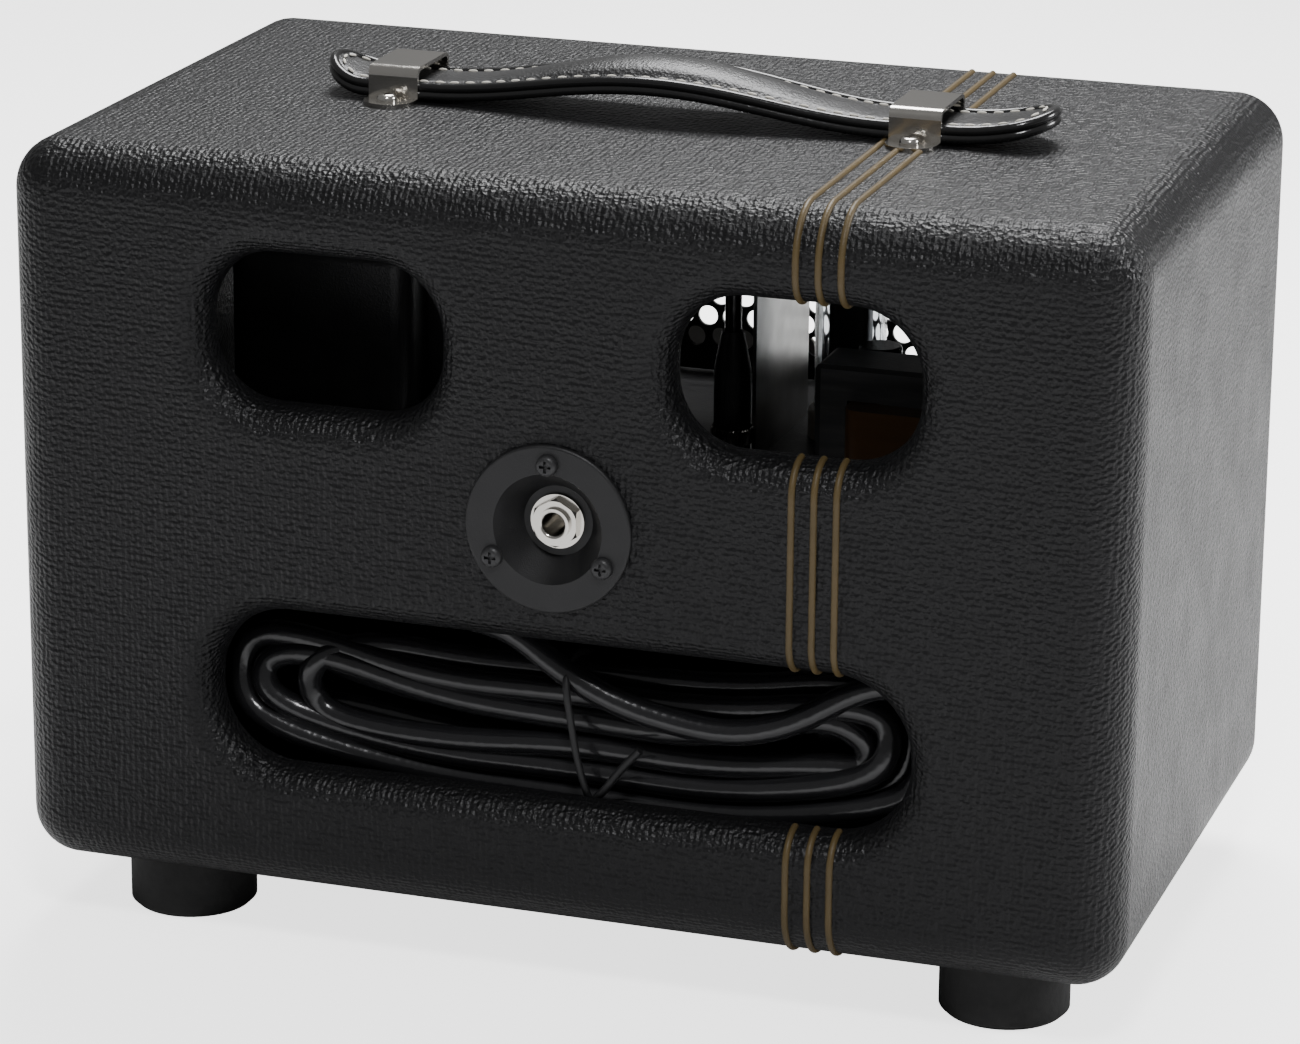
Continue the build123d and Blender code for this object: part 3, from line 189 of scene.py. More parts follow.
class Paintbox:
    """Makes each material once and hands it out."""

    COAT_ROUGHNESS = 0.12
    GLOSSIEST = 0.02
    GLOSS_RANGE = (0.75, 1.3)
    BROAD_GRAINS = 14
    BUMP_SHARE = 0.35
    METAL_FROM = 0.5
    DULL_TINT = (0.8, 0.8, 0.82, 1.0)
    TONED_BY_RELIEF = (Pattern.MOTTLED, Pattern.WOOD, Pattern.WEAVE)
    MIX_FACTOR = 0
    MIX_FIRST = 6
    MIX_SECOND = 7
    MIX_RESULT = 2
    STRAY_SCALE = 0.5
    STRAY_CELLS = 0.8
    THREAD_CELLS = 1.5
    RISING_THREADS = (1, 1, 1)
    FALLING_THREADS = (1, -0.9, -0.9)
    WEAVE_WEIGHT = 0.45
    FIBRE_SCALE = 1.8
    BRUSH_STRETCH = (40, 40, 2400)
    WOOD_STRETCH = (0.06, 1.0, 0.5)

    def __init__(self) -> None:
        self.made: dict[str, bpy.types.Material] = {}

    def get(self, finish: Finish) -> bpy.types.Material:
        """Return the material of a finish, and build it the first time.

        Args:
            finish: What the material looks like.

        Returns:
            The Blender material.
        """
        if finish.name not in self.made:
            self.made[finish.name] = self._build(finish)
        return self.made[finish.name]

    def _build(self, finish: Finish) -> bpy.types.Material:
        """Build the nodes of one material."""
        material = bpy.data.materials.new(finish.name)
        material.use_nodes = True
        tree = material.node_tree
        shader = tree.nodes["Principled BSDF"]
        shader.inputs["Metallic"].default_value = finish.metallic
        shader.inputs["Coat Weight"].default_value = finish.coat
        shader.inputs["Coat Roughness"].default_value = self.COAT_ROUGHNESS
        shader.inputs["Transmission Weight"].default_value = finish.transmission
        shader.inputs["IOR"].default_value = finish.ior
        shader.inputs["Specular IOR Level"].default_value = finish.specular
        place = tree.nodes.new("ShaderNodeTexCoord").outputs["Object"]
        fine = self._relief(tree, place, finish)
        broad = self._noise(tree, place, 1.0 / (finish.cell * self.BROAD_GRAINS), 3.0)
        tone = tree.nodes.new("ShaderNodeMix")
        tone.data_type = "RGBA"
        tone.inputs[self.MIX_FIRST].default_value = (*finish.colour, 1.0)
        tone.inputs[self.MIX_SECOND].default_value = (*finish.second, 1.0)
        leading = fine if finish.pattern in self.TONED_BY_RELIEF else broad
        tree.links.new(leading, tone.inputs[self.MIX_FACTOR])
        tree.links.new(tone.outputs[self.MIX_RESULT], shader.inputs["Base Color"])
        smoother, rougher = self.GLOSS_RANGE
        spread = tree.nodes.new("ShaderNodeMapRange")
        spread.inputs["To Min"].default_value = max(self.GLOSSIEST, finish.roughness * smoother)
        spread.inputs["To Max"].default_value = min(1.0, finish.roughness * rougher)
        tree.links.new(broad, spread.inputs["Value"])
        tree.links.new(spread.outputs["Result"], shader.inputs["Roughness"])
        if finish.metallic < self.METAL_FROM and finish.transmission == 0.0:
            shader.inputs["Specular Tint"].default_value = self.DULL_TINT
        bump = tree.nodes.new("ShaderNodeBump")
        bump.inputs["Strength"].default_value = finish.relief
        bump.inputs["Distance"].default_value = finish.cell * self.BUMP_SHARE
        tree.links.new(fine, bump.inputs["Height"])
        tree.links.new(bump.outputs["Normal"], shader.inputs["Normal"])
        return material

    def _noise(self, tree: Tree, place: Socket, scale: float, detail: float) -> Socket:
        """Add a noise texture and return its value socket."""
        noise = tree.nodes.new("ShaderNodeTexNoise")
        noise.inputs["Scale"].default_value = scale
        noise.inputs["Detail"].default_value = detail
        tree.links.new(place, noise.inputs["Vector"])
        return noise.outputs["Fac"]

    def _ridge(self, tree: Tree, place: Socket, direction: Triple, pitch: float) -> Socket:
        """Add ridges of a pitch across a direction and return their value socket."""
        dot = tree.nodes.new("ShaderNodeVectorMath")
        dot.operation = "DOT_PRODUCT"
        dot.inputs[1].default_value = Vector(direction).normalized() * (2 * math.pi / pitch)
        tree.links.new(place, dot.inputs[0])
        wave = tree.nodes.new("ShaderNodeMath")
        wave.operation = "SINE"
        tree.links.new(dot.outputs["Value"], wave.inputs[0])
        return wave.outputs["Value"]

    def _joined(self, tree: Tree, first: Socket, second: Socket, operation: str = "ADD") -> Socket:
        """Add two values, or join them by another operation."""
        node = tree.nodes.new("ShaderNodeMath")
        node.operation = operation
        tree.links.new(first, node.inputs[0])
        tree.links.new(second, node.inputs[1])
        return node.outputs["Value"]

    def _scaled(self, tree: Tree, place: Socket, factors: Triple) -> Socket:
        """Stretch coordinates along the axes."""
        node = tree.nodes.new("ShaderNodeVectorMath")
        node.operation = "MULTIPLY"
        node.inputs[1].default_value = factors
        tree.links.new(place, node.inputs[0])
        return node.outputs["Vector"]

    def _weighted(self, tree: Tree, value: Socket, factor: float) -> Socket:
        """Multiply a value by a constant."""
        node = tree.nodes.new("ShaderNodeMath")
        node.operation = "MULTIPLY"
        node.inputs[1].default_value = factor
        tree.links.new(value, node.inputs[0])
        return node.outputs["Value"]

    def _strayed(self, tree: Tree, place: Socket, scale: float, reach: float) -> Socket:
        """Shift coordinates a little, so that a pattern isn't quite regular."""
        noise = tree.nodes.new("ShaderNodeTexNoise")
        noise.inputs["Scale"].default_value = scale
        tree.links.new(place, noise.inputs["Vector"])
        shift = tree.nodes.new("ShaderNodeVectorMath")
        shift.operation = "MULTIPLY_ADD"
        shift.inputs[1].default_value = (reach, reach, reach)
        tree.links.new(noise.outputs["Color"], shift.inputs[0])
        tree.links.new(place, shift.inputs[2])
        return shift.outputs["Vector"]

    def _relief(self, tree: Tree, place: Socket, finish: Finish) -> Socket:
        """Return the height of the fine surface pattern."""
        scale = 1.0 / finish.cell
        if finish.pattern is Pattern.WEAVE:
            return self._woven(tree, place, finish.cell)
        if finish.pattern is Pattern.BRUSHED:
            return self._noise(tree, self._scaled(tree, place, self.BRUSH_STRETCH), 1.0, 2.0)
        if finish.pattern is Pattern.WOOD:
            stretch = tuple(scale * share for share in self.WOOD_STRETCH)
            return self._noise(tree, self._scaled(tree, place, stretch), 1.0, 4.0)
        if finish.pattern is Pattern.MOTTLED:
            return self._noise(tree, place, scale, 6.0)
        cells = tree.nodes.new("ShaderNodeTexVoronoi")
        cells.inputs["Scale"].default_value = scale
        tree.links.new(place, cells.inputs["Vector"])
        fibre = self._noise(tree, place, scale * 0.5, 2.0)
        return self._joined(tree, cells.outputs["Distance"], fibre)

    def _woven(self, tree: Tree, place: Socket, cell: float) -> Socket:
        """Return the height of crossed threads with knots and loose fibre."""
        scale = 1.0 / cell
        pitch = cell * self.THREAD_CELLS
        loose = self._strayed(tree, place, scale * self.STRAY_SCALE, cell * self.STRAY_CELLS)
        rising = self._ridge(tree, loose, self.RISING_THREADS, pitch)
        falling = self._ridge(tree, loose, self.FALLING_THREADS, pitch)
        crossed = self._joined(tree, rising, falling, "MULTIPLY")
        woven = self._weighted(tree, crossed, self.WEAVE_WEIGHT)
        knots = tree.nodes.new("ShaderNodeTexVoronoi")
        knots.distance = "MANHATTAN"
        knots.inputs["Scale"].default_value = scale
        tree.links.new(place, knots.inputs["Vector"])
        fibre = self._noise(tree, place, scale * self.FIBRE_SCALE, 3.0)
        return self._joined(tree, self._joined(tree, woven, knots.outputs["Distance"]), fibre)


def new_piece(
    name: str, mesh: bpy.types.Mesh, material: bpy.types.Material, body: str
) -> bpy.types.Object:
    """Link a mesh as a finished piece that rides on a body.

    Args:
        name: The piece's name.
        mesh: Its mesh, in place.
        material: Its finish.
        body: The CAD body that carries it.

    Returns:
        The new object.
    """
    mesh.materials.append(material)
    piece = bpy.data.objects.new(name, mesh)
    bpy.context.scene.collection.objects.link(piece)
    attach(piece, body)
    return piece


def mesh_from(name: str, work: bmesh.types.BMesh, smooth: bool = True) -> bpy.types.Mesh:
    """Turn working geometry into a mesh with outward normals."""
    bmesh.ops.recalc_face_normals(work, faces=work.faces)
    mesh = bpy.data.meshes.new(name)
    work.to_mesh(mesh)
    work.free()
    for face in mesh.polygons:
        face.use_smooth = smooth
    return mesh


def curve_piece(
    name: str, points: list[Vector], radius: float, material: bpy.types.Material, body: str
) -> bpy.types.Object:
    """A round cord along a smooth line through control points.

    Args:
        name: The piece's name.
        points: Control points, in metres.
        radius: The cord's radius, in metres.
        material: Its finish.
        body: The CAD body that carries it.

    Returns:
        The curve object.
    """
    curve = bpy.data.curves.new(name, "CURVE")
    curve.dimensions = "3D"
    curve.bevel_depth = radius
    curve.bevel_resolution = 5
    curve.resolution_u = 10
    curve.use_fill_caps = True
    spline = curve.splines.new("NURBS")
    spline.points.add(len(points) - 1)
    for slot, point in zip(spline.points, points):
        slot.co = (*point, 1.0)
    spline.order_u = 3
    spline.use_endpoint_u = True
    curve.materials.append(material)
    piece = bpy.data.objects.new(name, curve)
    bpy.context.scene.collection.objects.link(piece)
    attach(piece, body)
    return piece


@dataclass
class MainsLead:
    """The free mains lead: out of its strain relief, folded in a tied hank, and into its plug.

    All sizes are in millimetres. The hank is wound in laps: a front layer and a back layer.
    """

    paints: Paintbox
    diameter: float = 7.8
    length: float = 2200.0
    laps: int = 5
    front_laps: int = 3
    middle_z: float = 73.0
    front_y: float = 75.5
    layer_step: float = 7.8
    half_length: float = 106.0
    lap_shrink: float = 10.0
    end_share: float = 0.72
    end_extra: float = 5.0
    end_lift: float = 8.0
    jitter: float = 2.6
    wander: float = 1.2
    layer_inset: float = 4.0
    turn_short: float = 5.0
    turn_long: float = 3.0
    turn_height: float = 0.6
    turn_from: float = 0.97
    shoulder: float = 0.85
    first_shoulder: float = 0.88
    between: float = 0.45
    sag: float = 2.5
    back_sag_share: float = 0.4
    seed: int = 11
    tie_radius: float = 1.1
    tail_radius: float = 1.2
    tie_room: float = 1.4
    tie_behind: float = 1.2
    tie_before: float = 3.4
    lead_in: list[Triple] = field(default_factory=lambda: [
        (66.0, 50.0, 116.0), (66.0, 58.0, 116.0), (63.5, 67.0, 115.0), (56.0, 74.5, 112.5),
        (44.0, 78.0, 108.5), (31.0, 79.0, 105.0), (18.0, 79.0, 102.9),
    ])
    crossing: list[Triple] = field(default_factory=lambda: [
        (1.0, 82.0, 92.0), (-22.0, 83.0, 83.0), (-58.0, 82.5, 79.0),
    ])
    lead_out: list[Triple] = field(default_factory=lambda: [
        (-6.0, 66.8, 82.0), (-18.0, 58.5, 79.5), (-31.0, 52.0, 78.0), (-46.0, 52.0, 78.0),
    ])

    def layer_and_step(self, lap: int) -> tuple[int, int]:
        """Which layer a lap lies in, 0 at the front, and its number within that layer."""
        layer = 1 if lap >= self.front_laps else 0
        return layer, lap - layer * self.front_laps

    def reach(self, lap: int) -> float:
        """How far a lap goes each way along X."""
        layer, step = self.layer_and_step(lap)
        return self.half_length - self.lap_shrink * step - self.layer_inset * layer

    def lap_point(
        self, lap: int, along: float, side: int, reach: float, chance: random.Random
    ) -> Vector:
        """One control point of a lap.

        Args:
            lap: Which lap, from 0.
            along: How far along X, from -1 at the right end to 1 at the left end.
            side: 1 for the upper strand, -1 for the lower.
            reach: How far from the middle its end turn is.
            chance: The seeded source of small differences.

        Returns:
            The point, in millimetres.
        """
        layer, step = self.layer_and_step(lap)
        waist = (self.laps / 2 - step - 0.5 * layer) * self.diameter
        end = waist * self.end_share + self.end_extra
        x = along * reach
        share = min(1.0, abs(along) / self.shoulder)
        height = waist + (end - waist) * share * share
        if abs(along) > self.turn_from:
            height = end * self.turn_height
        lift = self.end_lift * (x / self.half_length) ** 2
        sag = -self.sag * math.sin(math.pi * share) * (1 if layer == 0 else self.back_sag_share)
        level = self.middle_z + side * height + lift + sag
        depth = self.front_y - layer * self.layer_step
        z = level + chance.uniform(-self.wander, self.wander) * self.jitter * share
        y = depth + chance.uniform(-self.wander, self.wander) * self.jitter * share
        return Vector((x, y, z))

    def hank(self) -> list[Vector]:
        """The control points of every lap, worked out in order."""
        chance = random.Random(self.seed)
        points = [Vector(point) for point in self.crossing]
        stops = (self.between, self.shoulder, 1.0)
        lower = [(-along, -1) for along in reversed(stops)] + [(0.0, -1)]
        lower += [(along, -1) for along in stops]
        for lap in range(self.laps):
            start = [(-self.between, 1), (-self.shoulder, 1)] if lap else [(-self.first_shoulder, 1)]
            out_right = self.reach(lap) + chance.uniform(-self.turn_short, self.turn_long)
            out_left = self.reach(lap) + chance.uniform(-self.turn_short, self.turn_long)
            for along, side in start + [(-1.0, 1)] + lower:
                reach = out_right if along < 0 else out_left
                points.append(self.lap_point(lap, along, side, reach, chance))
            following = lap + 1
            points.append(self.lap_point(lap, 1.0, 1, out_left, chance))
            inner = out_left - self.lap_shrink / 2
            for along in (self.shoulder, self.between):
                points.append(self.lap_point(following, along, 1, inner, chance))
            if following < self.laps:
                points.append(self.lap_point(following, 0.0, 1, out_left, chance))
        return points

    def build(self) -> bpy.types.Object:
        """Build the lead and its tie."""
        route = [Vector(p) for p in self.lead_in] + self.hank() + [Vector(p) for p in self.lead_out]
        points = [point * MM for point in route]
        rubber = self.paints.get(CORD)
        lead = curve_piece("mains_lead", points, self.diameter / 2 * MM, rubber, "root")
        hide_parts("mains_cord", "mains_cord_hank")
        tie = self.build_tie()
        return lead

    def build_tie(self) -> bpy.types.Object:
        """A covered wire wound slantwise about the hank, with its twisted tail."""
        half_h = self.diameter * (self.laps / 2 + 0.5) + self.tie_room
        low_y = self.front_y - self.layer_step - self.diameter / 2 - self.tie_behind
        high_y = self.front_y + self.diameter + self.tie_before
        mid_z = self.middle_z
        ring = [
            (0.0, low_y, mid_z + half_h * 0.8), (1.0, (low_y + high_y) / 2, mid_z + half_h),
            (0.0, high_y, mid_z + half_h * 0.8), (-2.0, high_y + 0.4, mid_z + half_h * 0.3),
            (-4.5, high_y + 0.2, mid_z - half_h * 0.3), (-8.0, high_y - 2.0, mid_z - half_h * 0.8),
            (-7.0, (low_y + high_y) / 2, mid_z - half_h), (-3.0, low_y, mid_z - half_h * 0.8),
            (0.0, low_y, mid_z + half_h * 0.6),
        ]
        tail = [
            (-8.0, high_y - 1.5, mid_z - half_h * 0.7), (-12.0, high_y, mid_z - half_h * 0.55),
            (-17.0, high_y + 0.3, mid_z - 6.0), (-23.0, high_y, mid_z + 0.5),
        ]
        paint = self.paints.get(MATTE)
        around = [Vector(p) * MM for p in ring]
        loose = [Vector(p) * MM for p in tail]
        loop = curve_piece("hank_tie_loop", around, self.tie_radius * MM, paint, "root")
        end = curve_piece("hank_tie_tail", loose, self.tail_radius * MM, paint, "root")
        world = end.matrix_world.copy()
        end.parent = loop
        end.matrix_world = world
        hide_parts("hank_tie")
        return loop


@dataclass
class StrapHandle:
    """The padded strap: a crowned skin, glossy rolled edges and two rows of white stitches.

    All sizes are in millimetres. Its ends and its underside come from the CAD strap; its widths are given
    below.
    """

    paints: Paintbox
    clip_half_spacing: float = 80.0
    flat_half: float = 9.0
    bow: float = 7.5
    tip_rise: float = 5.0
    thickness: float = 5.0
    crown: float = 3.5
    end_width: float = 22.8
    middle_width: float = 29.0
    edge_radius: float = 1.5
    stations: int = 120
    stitch_pitch: float = 4.6
    stitch_length: float = 3.0
    stitch_inset: float = 2.9
    thread_radius: float = 0.45
    least_half: float = 2.0
    flat_crown: float = 0.4
    shoulder_drop: float = 0.6
    seam_depth: float = 0.54
    seam_across: float = 0.80
    seam_width: float = 0.10
    crown_power: float = 0.7
    under_share: float = 0.98
    skin_strips: int = 26
    edge_sides: int = 10
    edge_steps: int = 220
    edge_drop: float = 0.2
    edge_spacing: float = 0.8
    stitch_steps: int = 900

    def __post_init__(self) -> None:
        """Take the strap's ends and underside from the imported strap."""
        low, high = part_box("handle_strap")
        self.left = high.x / MM
        self.right = low.x / MM
        self.low_z = low.z / MM

    def swell(self, x: float) -> float:
        """How near the middle of the span a place is: 1 there, 0 at the clips."""
        inner = self.clip_half_spacing - self.flat_half
        return 0.5 + 0.5 * math.cos(math.pi * x / inner)

    def bottom(self, x: float) -> float:
        """Height of the underside at a place along the strap."""
        inner = self.clip_half_spacing - self.flat_half
        outer = self.clip_half_spacing + self.flat_half
        if abs(x) < inner:
            return self.low_z + self.bow * self.swell(x)
        if abs(x) <= outer:
            return self.low_z
        end = self.left if x > 0 else -self.right
        share = (abs(x) - outer) / (end - outer)
        return self.low_z + self.tip_rise * share * share

    def half_width(self, x: float) -> float:
        """Half the strap's width at a place along it, rounded at the tips."""
        inner = self.clip_half_spacing - self.flat_half
        half = self.end_width / 2
        if abs(x) < inner:
            half += (self.middle_width - self.end_width) / 2 * self.swell(x)
        end = self.left if x > 0 else -self.right
        past = abs(x) - (end - half)
        if past > 0:
            half = math.sqrt(max(0.2, half * half - past * past))
        return half

    def padding(self, x: float) -> float:
        """How far the middle of the skin stands over its edges."""
        inner = self.clip_half_spacing - self.flat_half
        if abs(x) > inner:
            return self.flat_crown
        return self.flat_crown + self.crown * self.swell(x)

    def top(self, x: float, across: float) -> float:
        """Height of the skin, where across runs from -1 to 1."""
        off_seam = (abs(across) - self.seam_across) / self.seam_width
        seam = self.seam_depth * math.exp(-(off_seam ** 2))
        within = max(0.0, 1 - (across / self.seam_across) ** 2)
        pad = self.padding(x) * within ** self.crown_power
        return self.bottom(x) + self.thickness - self.shoulder_drop + pad - seam

    def build(self) -> bpy.types.Object:
        """Build the skin, its edges and its stitches."""
        work = bmesh.new()
        rings = []
        for n in range(self.stations + 1):
            turn = math.pi * n / self.stations
            x = (self.left + self.right) / 2 - (self.left - self.right) / 2 * math.cos(turn)
            rings.append([work.verts.new(point * MM) for point in self.section(x)])
        for first, second in zip(rings, rings[1:]):
            count = len(first)
            for k in range(count):
                work.faces.new((first[k], first[(k + 1) % count], second[(k + 1) % count], second[k]))
        work.faces.new(rings[0])
        work.faces.new(list(reversed(rings[-1])))
        mesh = mesh_from("strap_skin_piece", work)
        skin = new_piece("strap_skin_piece", mesh, self.paints.get(STRAP), "handle")
        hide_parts("handle_strap")
        self.build_edge()
        self.build_stitches()
        return skin

    def section(self, x: float) -> list[Vector]:
        """The closed outline of the strap at a place along it: over the top, back underneath."""
        half = self.half_width(x)
        ring = []
        for k in range(self.skin_strips + 1):
            across = -1 + 2 * k / self.skin_strips
            ring.append(Vector((x, across * half, self.top(x, across))))
        for k in range(self.skin_strips, -1, -2):
            across = -1 + 2 * k / self.skin_strips
            ring.append(Vector((x, across * half * self.under_share, self.bottom(x))))
        return ring

    def outline(self, inset: float, count: int) -> list[Vector]:
        """Points around the strap's edge, that far in from it, in plan."""
        points = []
        middle = (self.left + self.right) / 2
        reach = (self.left - self.right) / 2
        for n in range(count):
            turn = 2 * math.pi * n / count
            x = middle + reach * math.cos(turn)
            side = 1 if math.sin(turn) >= 0 else -1
            half = self.half_width(x)
            points.append(Vector((x, side * half, 0)))
        if inset == 0:
            return points
        moved = []
        for before, here, after in zip(points[-1:] + points[:-1], points, points[1:] + points[:1]):
            way = (after - before).normalized()
            moved.append(here + Vector((-way.y, way.x, 0)) * inset)
        return moved

    def build_edge(self) -> None:
        """The glossy rolled edge that runs right round the strap."""
        lift = self.thickness / 2 - self.edge_drop
        points = [
            Vector((p.x, p.y, self.bottom(p.x) + lift)) * MM for p in self.outline(0, self.edge_steps)
        ]
        reach = self.edge_radius * MM
        sides = self.edge_sides
        for number, offset in enumerate((-1.0, 1.0)):
            shift = Vector((0, 0, offset * self.edge_radius * self.edge_spacing * MM))
            work = bmesh.new()
            rings = []
            for before, here, after in zip(points[-1:] + points[:-1], points, points[1:] + points[:1]):
                way = (after - before).normalized()
                out = way.cross(Vector((0, 0, 1))).normalized()
                up = out.cross(way).normalized()
                ring = []
                for k in range(sides):
                    turn = 2 * math.pi * k / sides
                    spoke = out * reach * math.cos(turn) + up * reach * math.sin(turn)
                    ring.append(work.verts.new(here + shift + spoke))
                rings.append(ring)
            for first, second in zip(rings, rings[1:] + rings[:1]):
                for k in range(sides):
                    following = (k + 1) % sides
                    corners = (first[k], first[following], second[following], second[k])
                    work.faces.new(corners)
            name = f"strap_edge_{number}"
            new_piece(name, mesh_from(name, work), self.paints.get(PIPING), "handle")

    def thread_height(self, place: Vector) -> float:
        """Height of the thread's middle where it lies on the skin."""
        half = max(self.least_half, self.half_width(place.x))
        across = max(-1.0, min(1.0, place.y / half))
        return self.top(place.x, across) + self.thread_radius

    def build_stitches(self) -> None:
        """One small thread loop after another around the skin."""
        line = self.outline(self.stitch_inset, self.stitch_steps)
        work = bmesh.new()
        travelled = 0.0
        due = 0.0
        for here, after in zip(line, line[1:] + line[:1]):
            travelled += (after - here).length
            if travelled < due:
                continue
            due = travelled + self.stitch_pitch
            way = (after - here).normalized()
            place = Vector((here.x, here.y, self.thread_height(here)))
            ahead = Vector((here.x + way.x, here.y + way.y, 0))
            rise = self.thread_height(ahead) - place.z
            along = Vector((way.x, way.y, rise)).normalized()
            turn = Vector((0, 0, 1)).rotation_difference(along).to_matrix().to_4x4()
            thread = (self.thread_radius, self.thread_radius, self.stitch_length / 2, 1.0)
            size = Matrix.Diagonal(thread)
            matrix = Matrix.Scale(MM, 4) @ Matrix.Translation(place) @ turn @ size
            bmesh.ops.create_uvsphere(work, u_segments=8, v_segments=6, radius=1.0, matrix=matrix)
        mesh = mesh_from("strap_stitches", work)
        new_piece("strap_stitches", mesh, self.paints.get(THREAD), "handle")


@dataclass
class PlugBand:
    """The knurled nickel band round the speaker plug, in millimetres."""

    paints: Paintbox
    radius: float = 6.15
    height: float = 5.0
    ridges: int = 40
    ridge_rise: float = 0.25
    groove_drop: float = 0.1
    above_socket: float = 4.3
    levels: tuple[float, ...] = (0.0, 0.12, 0.88, 1.0)

    def build(self) -> None:
        """Build the band where the CAD plug has its collar."""
        low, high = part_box("speaker_plug")
        socket_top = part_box("chassis_speaker_socket")[1].z
        centre = Vector(((low.x + high.x) / 2, (low.y + high.y) / 2, socket_top + self.above_socket * MM))
        work = bmesh.new()
        rows = []
        for level in self.levels:
            ring = []
            for n in range(self.ridges * 2):
                angle = math.pi * n / self.ridges
                on_ridge = n % 2 and 0 < level < 1
                reach = self.radius + (self.ridge_rise if on_ridge else -self.groove_drop)
                spoke = Vector((math.cos(angle) * reach, math.sin(angle) * reach, level * self.height))
                ring.append(work.verts.new(centre + spoke * MM))
            rows.append(ring)
        for first, second in zip(rows, rows[1:]):
            for n in range(len(first)):
                after = (n + 1) % len(first)
                work.faces.new((first[n], first[after], second[after], second[n]))
        work.faces.new(list(reversed(rows[0])))
        work.faces.new(rows[-1])
        mesh = mesh_from("plug_band", work, smooth=False)
        new_piece("plug_band", mesh, self.paints.get(NICKEL), "root")


@dataclass(frozen=True)
class SoftLight:
    """One square soft light: where it stands, how wide it is and its power in watts."""

    name: str
    place: Triple
    size: float
    watts: float


LIGHTS = (
    SoftLight("key_light", (-0.35, 0.95, 1.45), 0.28, 15.0),
    SoftLight("top_light", (0.1, -0.65, 1.3), 0.7, 30.0),
    SoftLight("side_light", (-1.4, -0.6, 0.75), 0.5, 18.0),
)


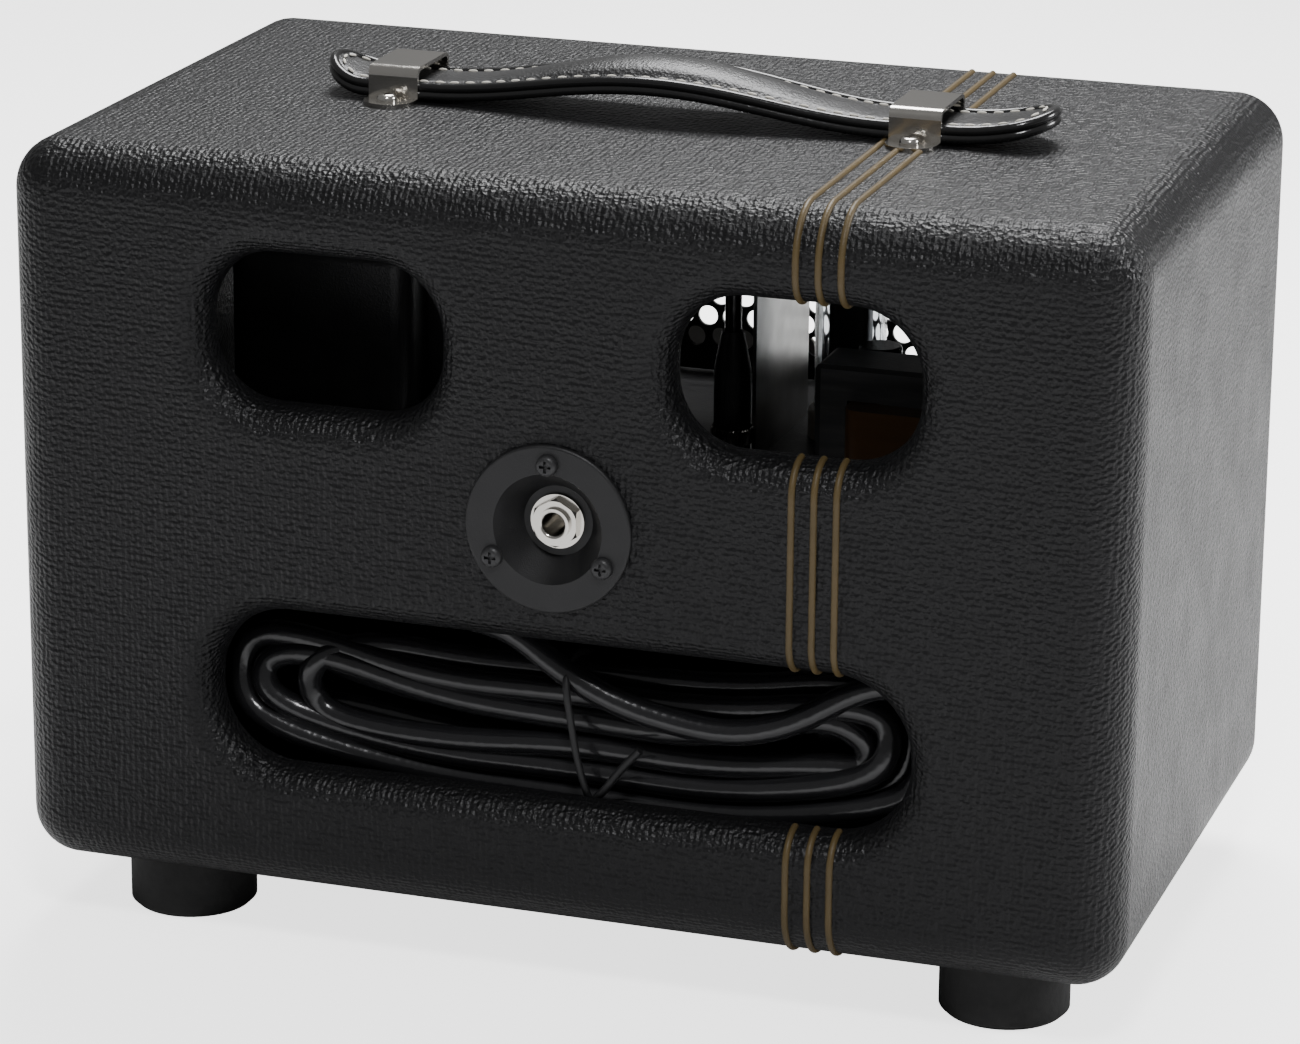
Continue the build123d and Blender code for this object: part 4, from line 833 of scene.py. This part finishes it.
@dataclass
class Studio:
    """The pale floor, the soft lights and the camera. Sizes are in metres, the lens in mm."""

    camera_place: Triple = (-0.4457, 1.3551, 0.5697)
    camera_target: Triple = (0.0032, 0.0, 0.1135)
    camera_roll: float = math.radians(0.457)
    lens: float = 137.57
    sensor: float = 36.0
    light_target: Triple = (0, 0, 0.12)
    air_glow: float = 0.22
    floor_half: float = 25.0
    floor_white: float = 0.97
    floor_roughness: float = 0.9
    floor_glow: float = 2.2

    def build(self) -> None:
        """Build everything that isn't the object."""
        self.build_floor()
        for soft_light in LIGHTS:
            self.build_light(soft_light)
        world = bpy.data.worlds.new("studio_air")
        world.use_nodes = True
        air = world.node_tree.nodes["Background"]
        air.inputs["Color"].default_value = (1.0, 1.0, 1.0, 1.0)
        air.inputs["Strength"].default_value = self.air_glow
        bpy.context.scene.world = world
        self.build_camera()

    def build_floor(self) -> None:
        """A wide white floor at the feet."""
        work = bmesh.new()
        bmesh.ops.create_grid(work, x_segments=1, y_segments=1, size=self.floor_half)
        mesh = bpy.data.meshes.new("floor")
        work.to_mesh(mesh)
        work.free()
        material = bpy.data.materials.new("white_floor")
        material.use_nodes = True
        shader = material.node_tree.nodes["Principled BSDF"]
        white = self.floor_white
        shader.inputs["Base Color"].default_value = (white, white, white, 1.0)
        shader.inputs["Roughness"].default_value = self.floor_roughness
        shader.inputs["Specular IOR Level"].default_value = 0.0
        shader.inputs["Emission Color"].default_value = (1.0, 1.0, 1.0, 1.0)
        shader.inputs["Emission Strength"].default_value = self.floor_glow
        mesh.materials.append(material)
        self.glow_for_camera(material)
        floor = bpy.data.objects.new("floor", mesh)
        bpy.context.scene.collection.objects.link(floor)

    def glow_for_camera(self, material: bpy.types.Material) -> None:
        """Let the floor look white without throwing its light on the object.

        Args:
            material: The floor's material, whose emission is already set.
        """
        tree = material.node_tree
        shader = tree.nodes["Principled BSDF"]
        path = tree.nodes.new("ShaderNodeLightPath")
        strength = tree.nodes.new("ShaderNodeMath")
        strength.operation = "MULTIPLY"
        strength.inputs[1].default_value = shader.inputs["Emission Strength"].default_value
        tree.links.new(path.outputs["Is Camera Ray"], strength.inputs[0])
        tree.links.new(strength.outputs["Value"], shader.inputs["Emission Strength"])

    def build_light(self, soft_light: SoftLight) -> None:
        """Set up one soft light so that it faces the object.

        Args:
            soft_light: Its name, place, size and power.
        """
        data = bpy.data.lights.new(soft_light.name, "AREA")
        data.size = soft_light.size
        data.energy = soft_light.watts
        light = bpy.data.objects.new(soft_light.name, data)
        light.location = soft_light.place
        sight = Vector(self.light_target) - Vector(soft_light.place)
        light.rotation_euler = sight.to_track_quat("-Z", "Y").to_euler()
        bpy.context.scene.collection.objects.link(light)

    def build_camera(self) -> None:
        """The long-lens camera behind and to the right of the head."""
        data = bpy.data.cameras.new("camera")
        data.lens = self.lens
        data.sensor_width = self.sensor
        camera = bpy.data.objects.new("camera", data)
        place = Vector(self.camera_place)
        look = (Vector(self.camera_target) - place).to_track_quat("-Z", "Y").to_matrix()
        turned = look @ Matrix.Rotation(self.camera_roll, 3, "Z")
        camera.matrix_world = Matrix.Translation(place) @ turned.to_4x4()
        bpy.context.scene.collection.objects.link(camera)
        bpy.context.scene.camera = camera


@dataclass
class Amplifier:
    """The whole head: dresses the CAD pieces and builds the soft ones."""

    paints: Paintbox = field(default_factory=Paintbox)

    def dress(self) -> None:
        """Give every CAD node its finish from the record's slots."""
        slots = {part["node"]: part["material_slot"] for part in frame["record"]["subparts"]}
        for name, piece in frame["nodes"].items():
            finish = NODE_FINISHES.get(name) or SLOT_FINISHES[slots[name]]
            piece.data.materials.clear()
            piece.data.materials.append(self.paints.get(finish))

    def build(self) -> None:
        """Dress and build everything."""
        self.dress()
        MainsLead(self.paints).build()
        StrapHandle(self.paints).build()
        PlugBand(self.paints).build()
        log.info("dressed %d CAD nodes", len(frame["nodes"]))


def main() -> None:
    """Build the amplifier and its studio."""
    logging.basicConfig(level=logging.INFO)
    Amplifier().build()
    Studio().build()


if __name__ == "__main__":
    main()
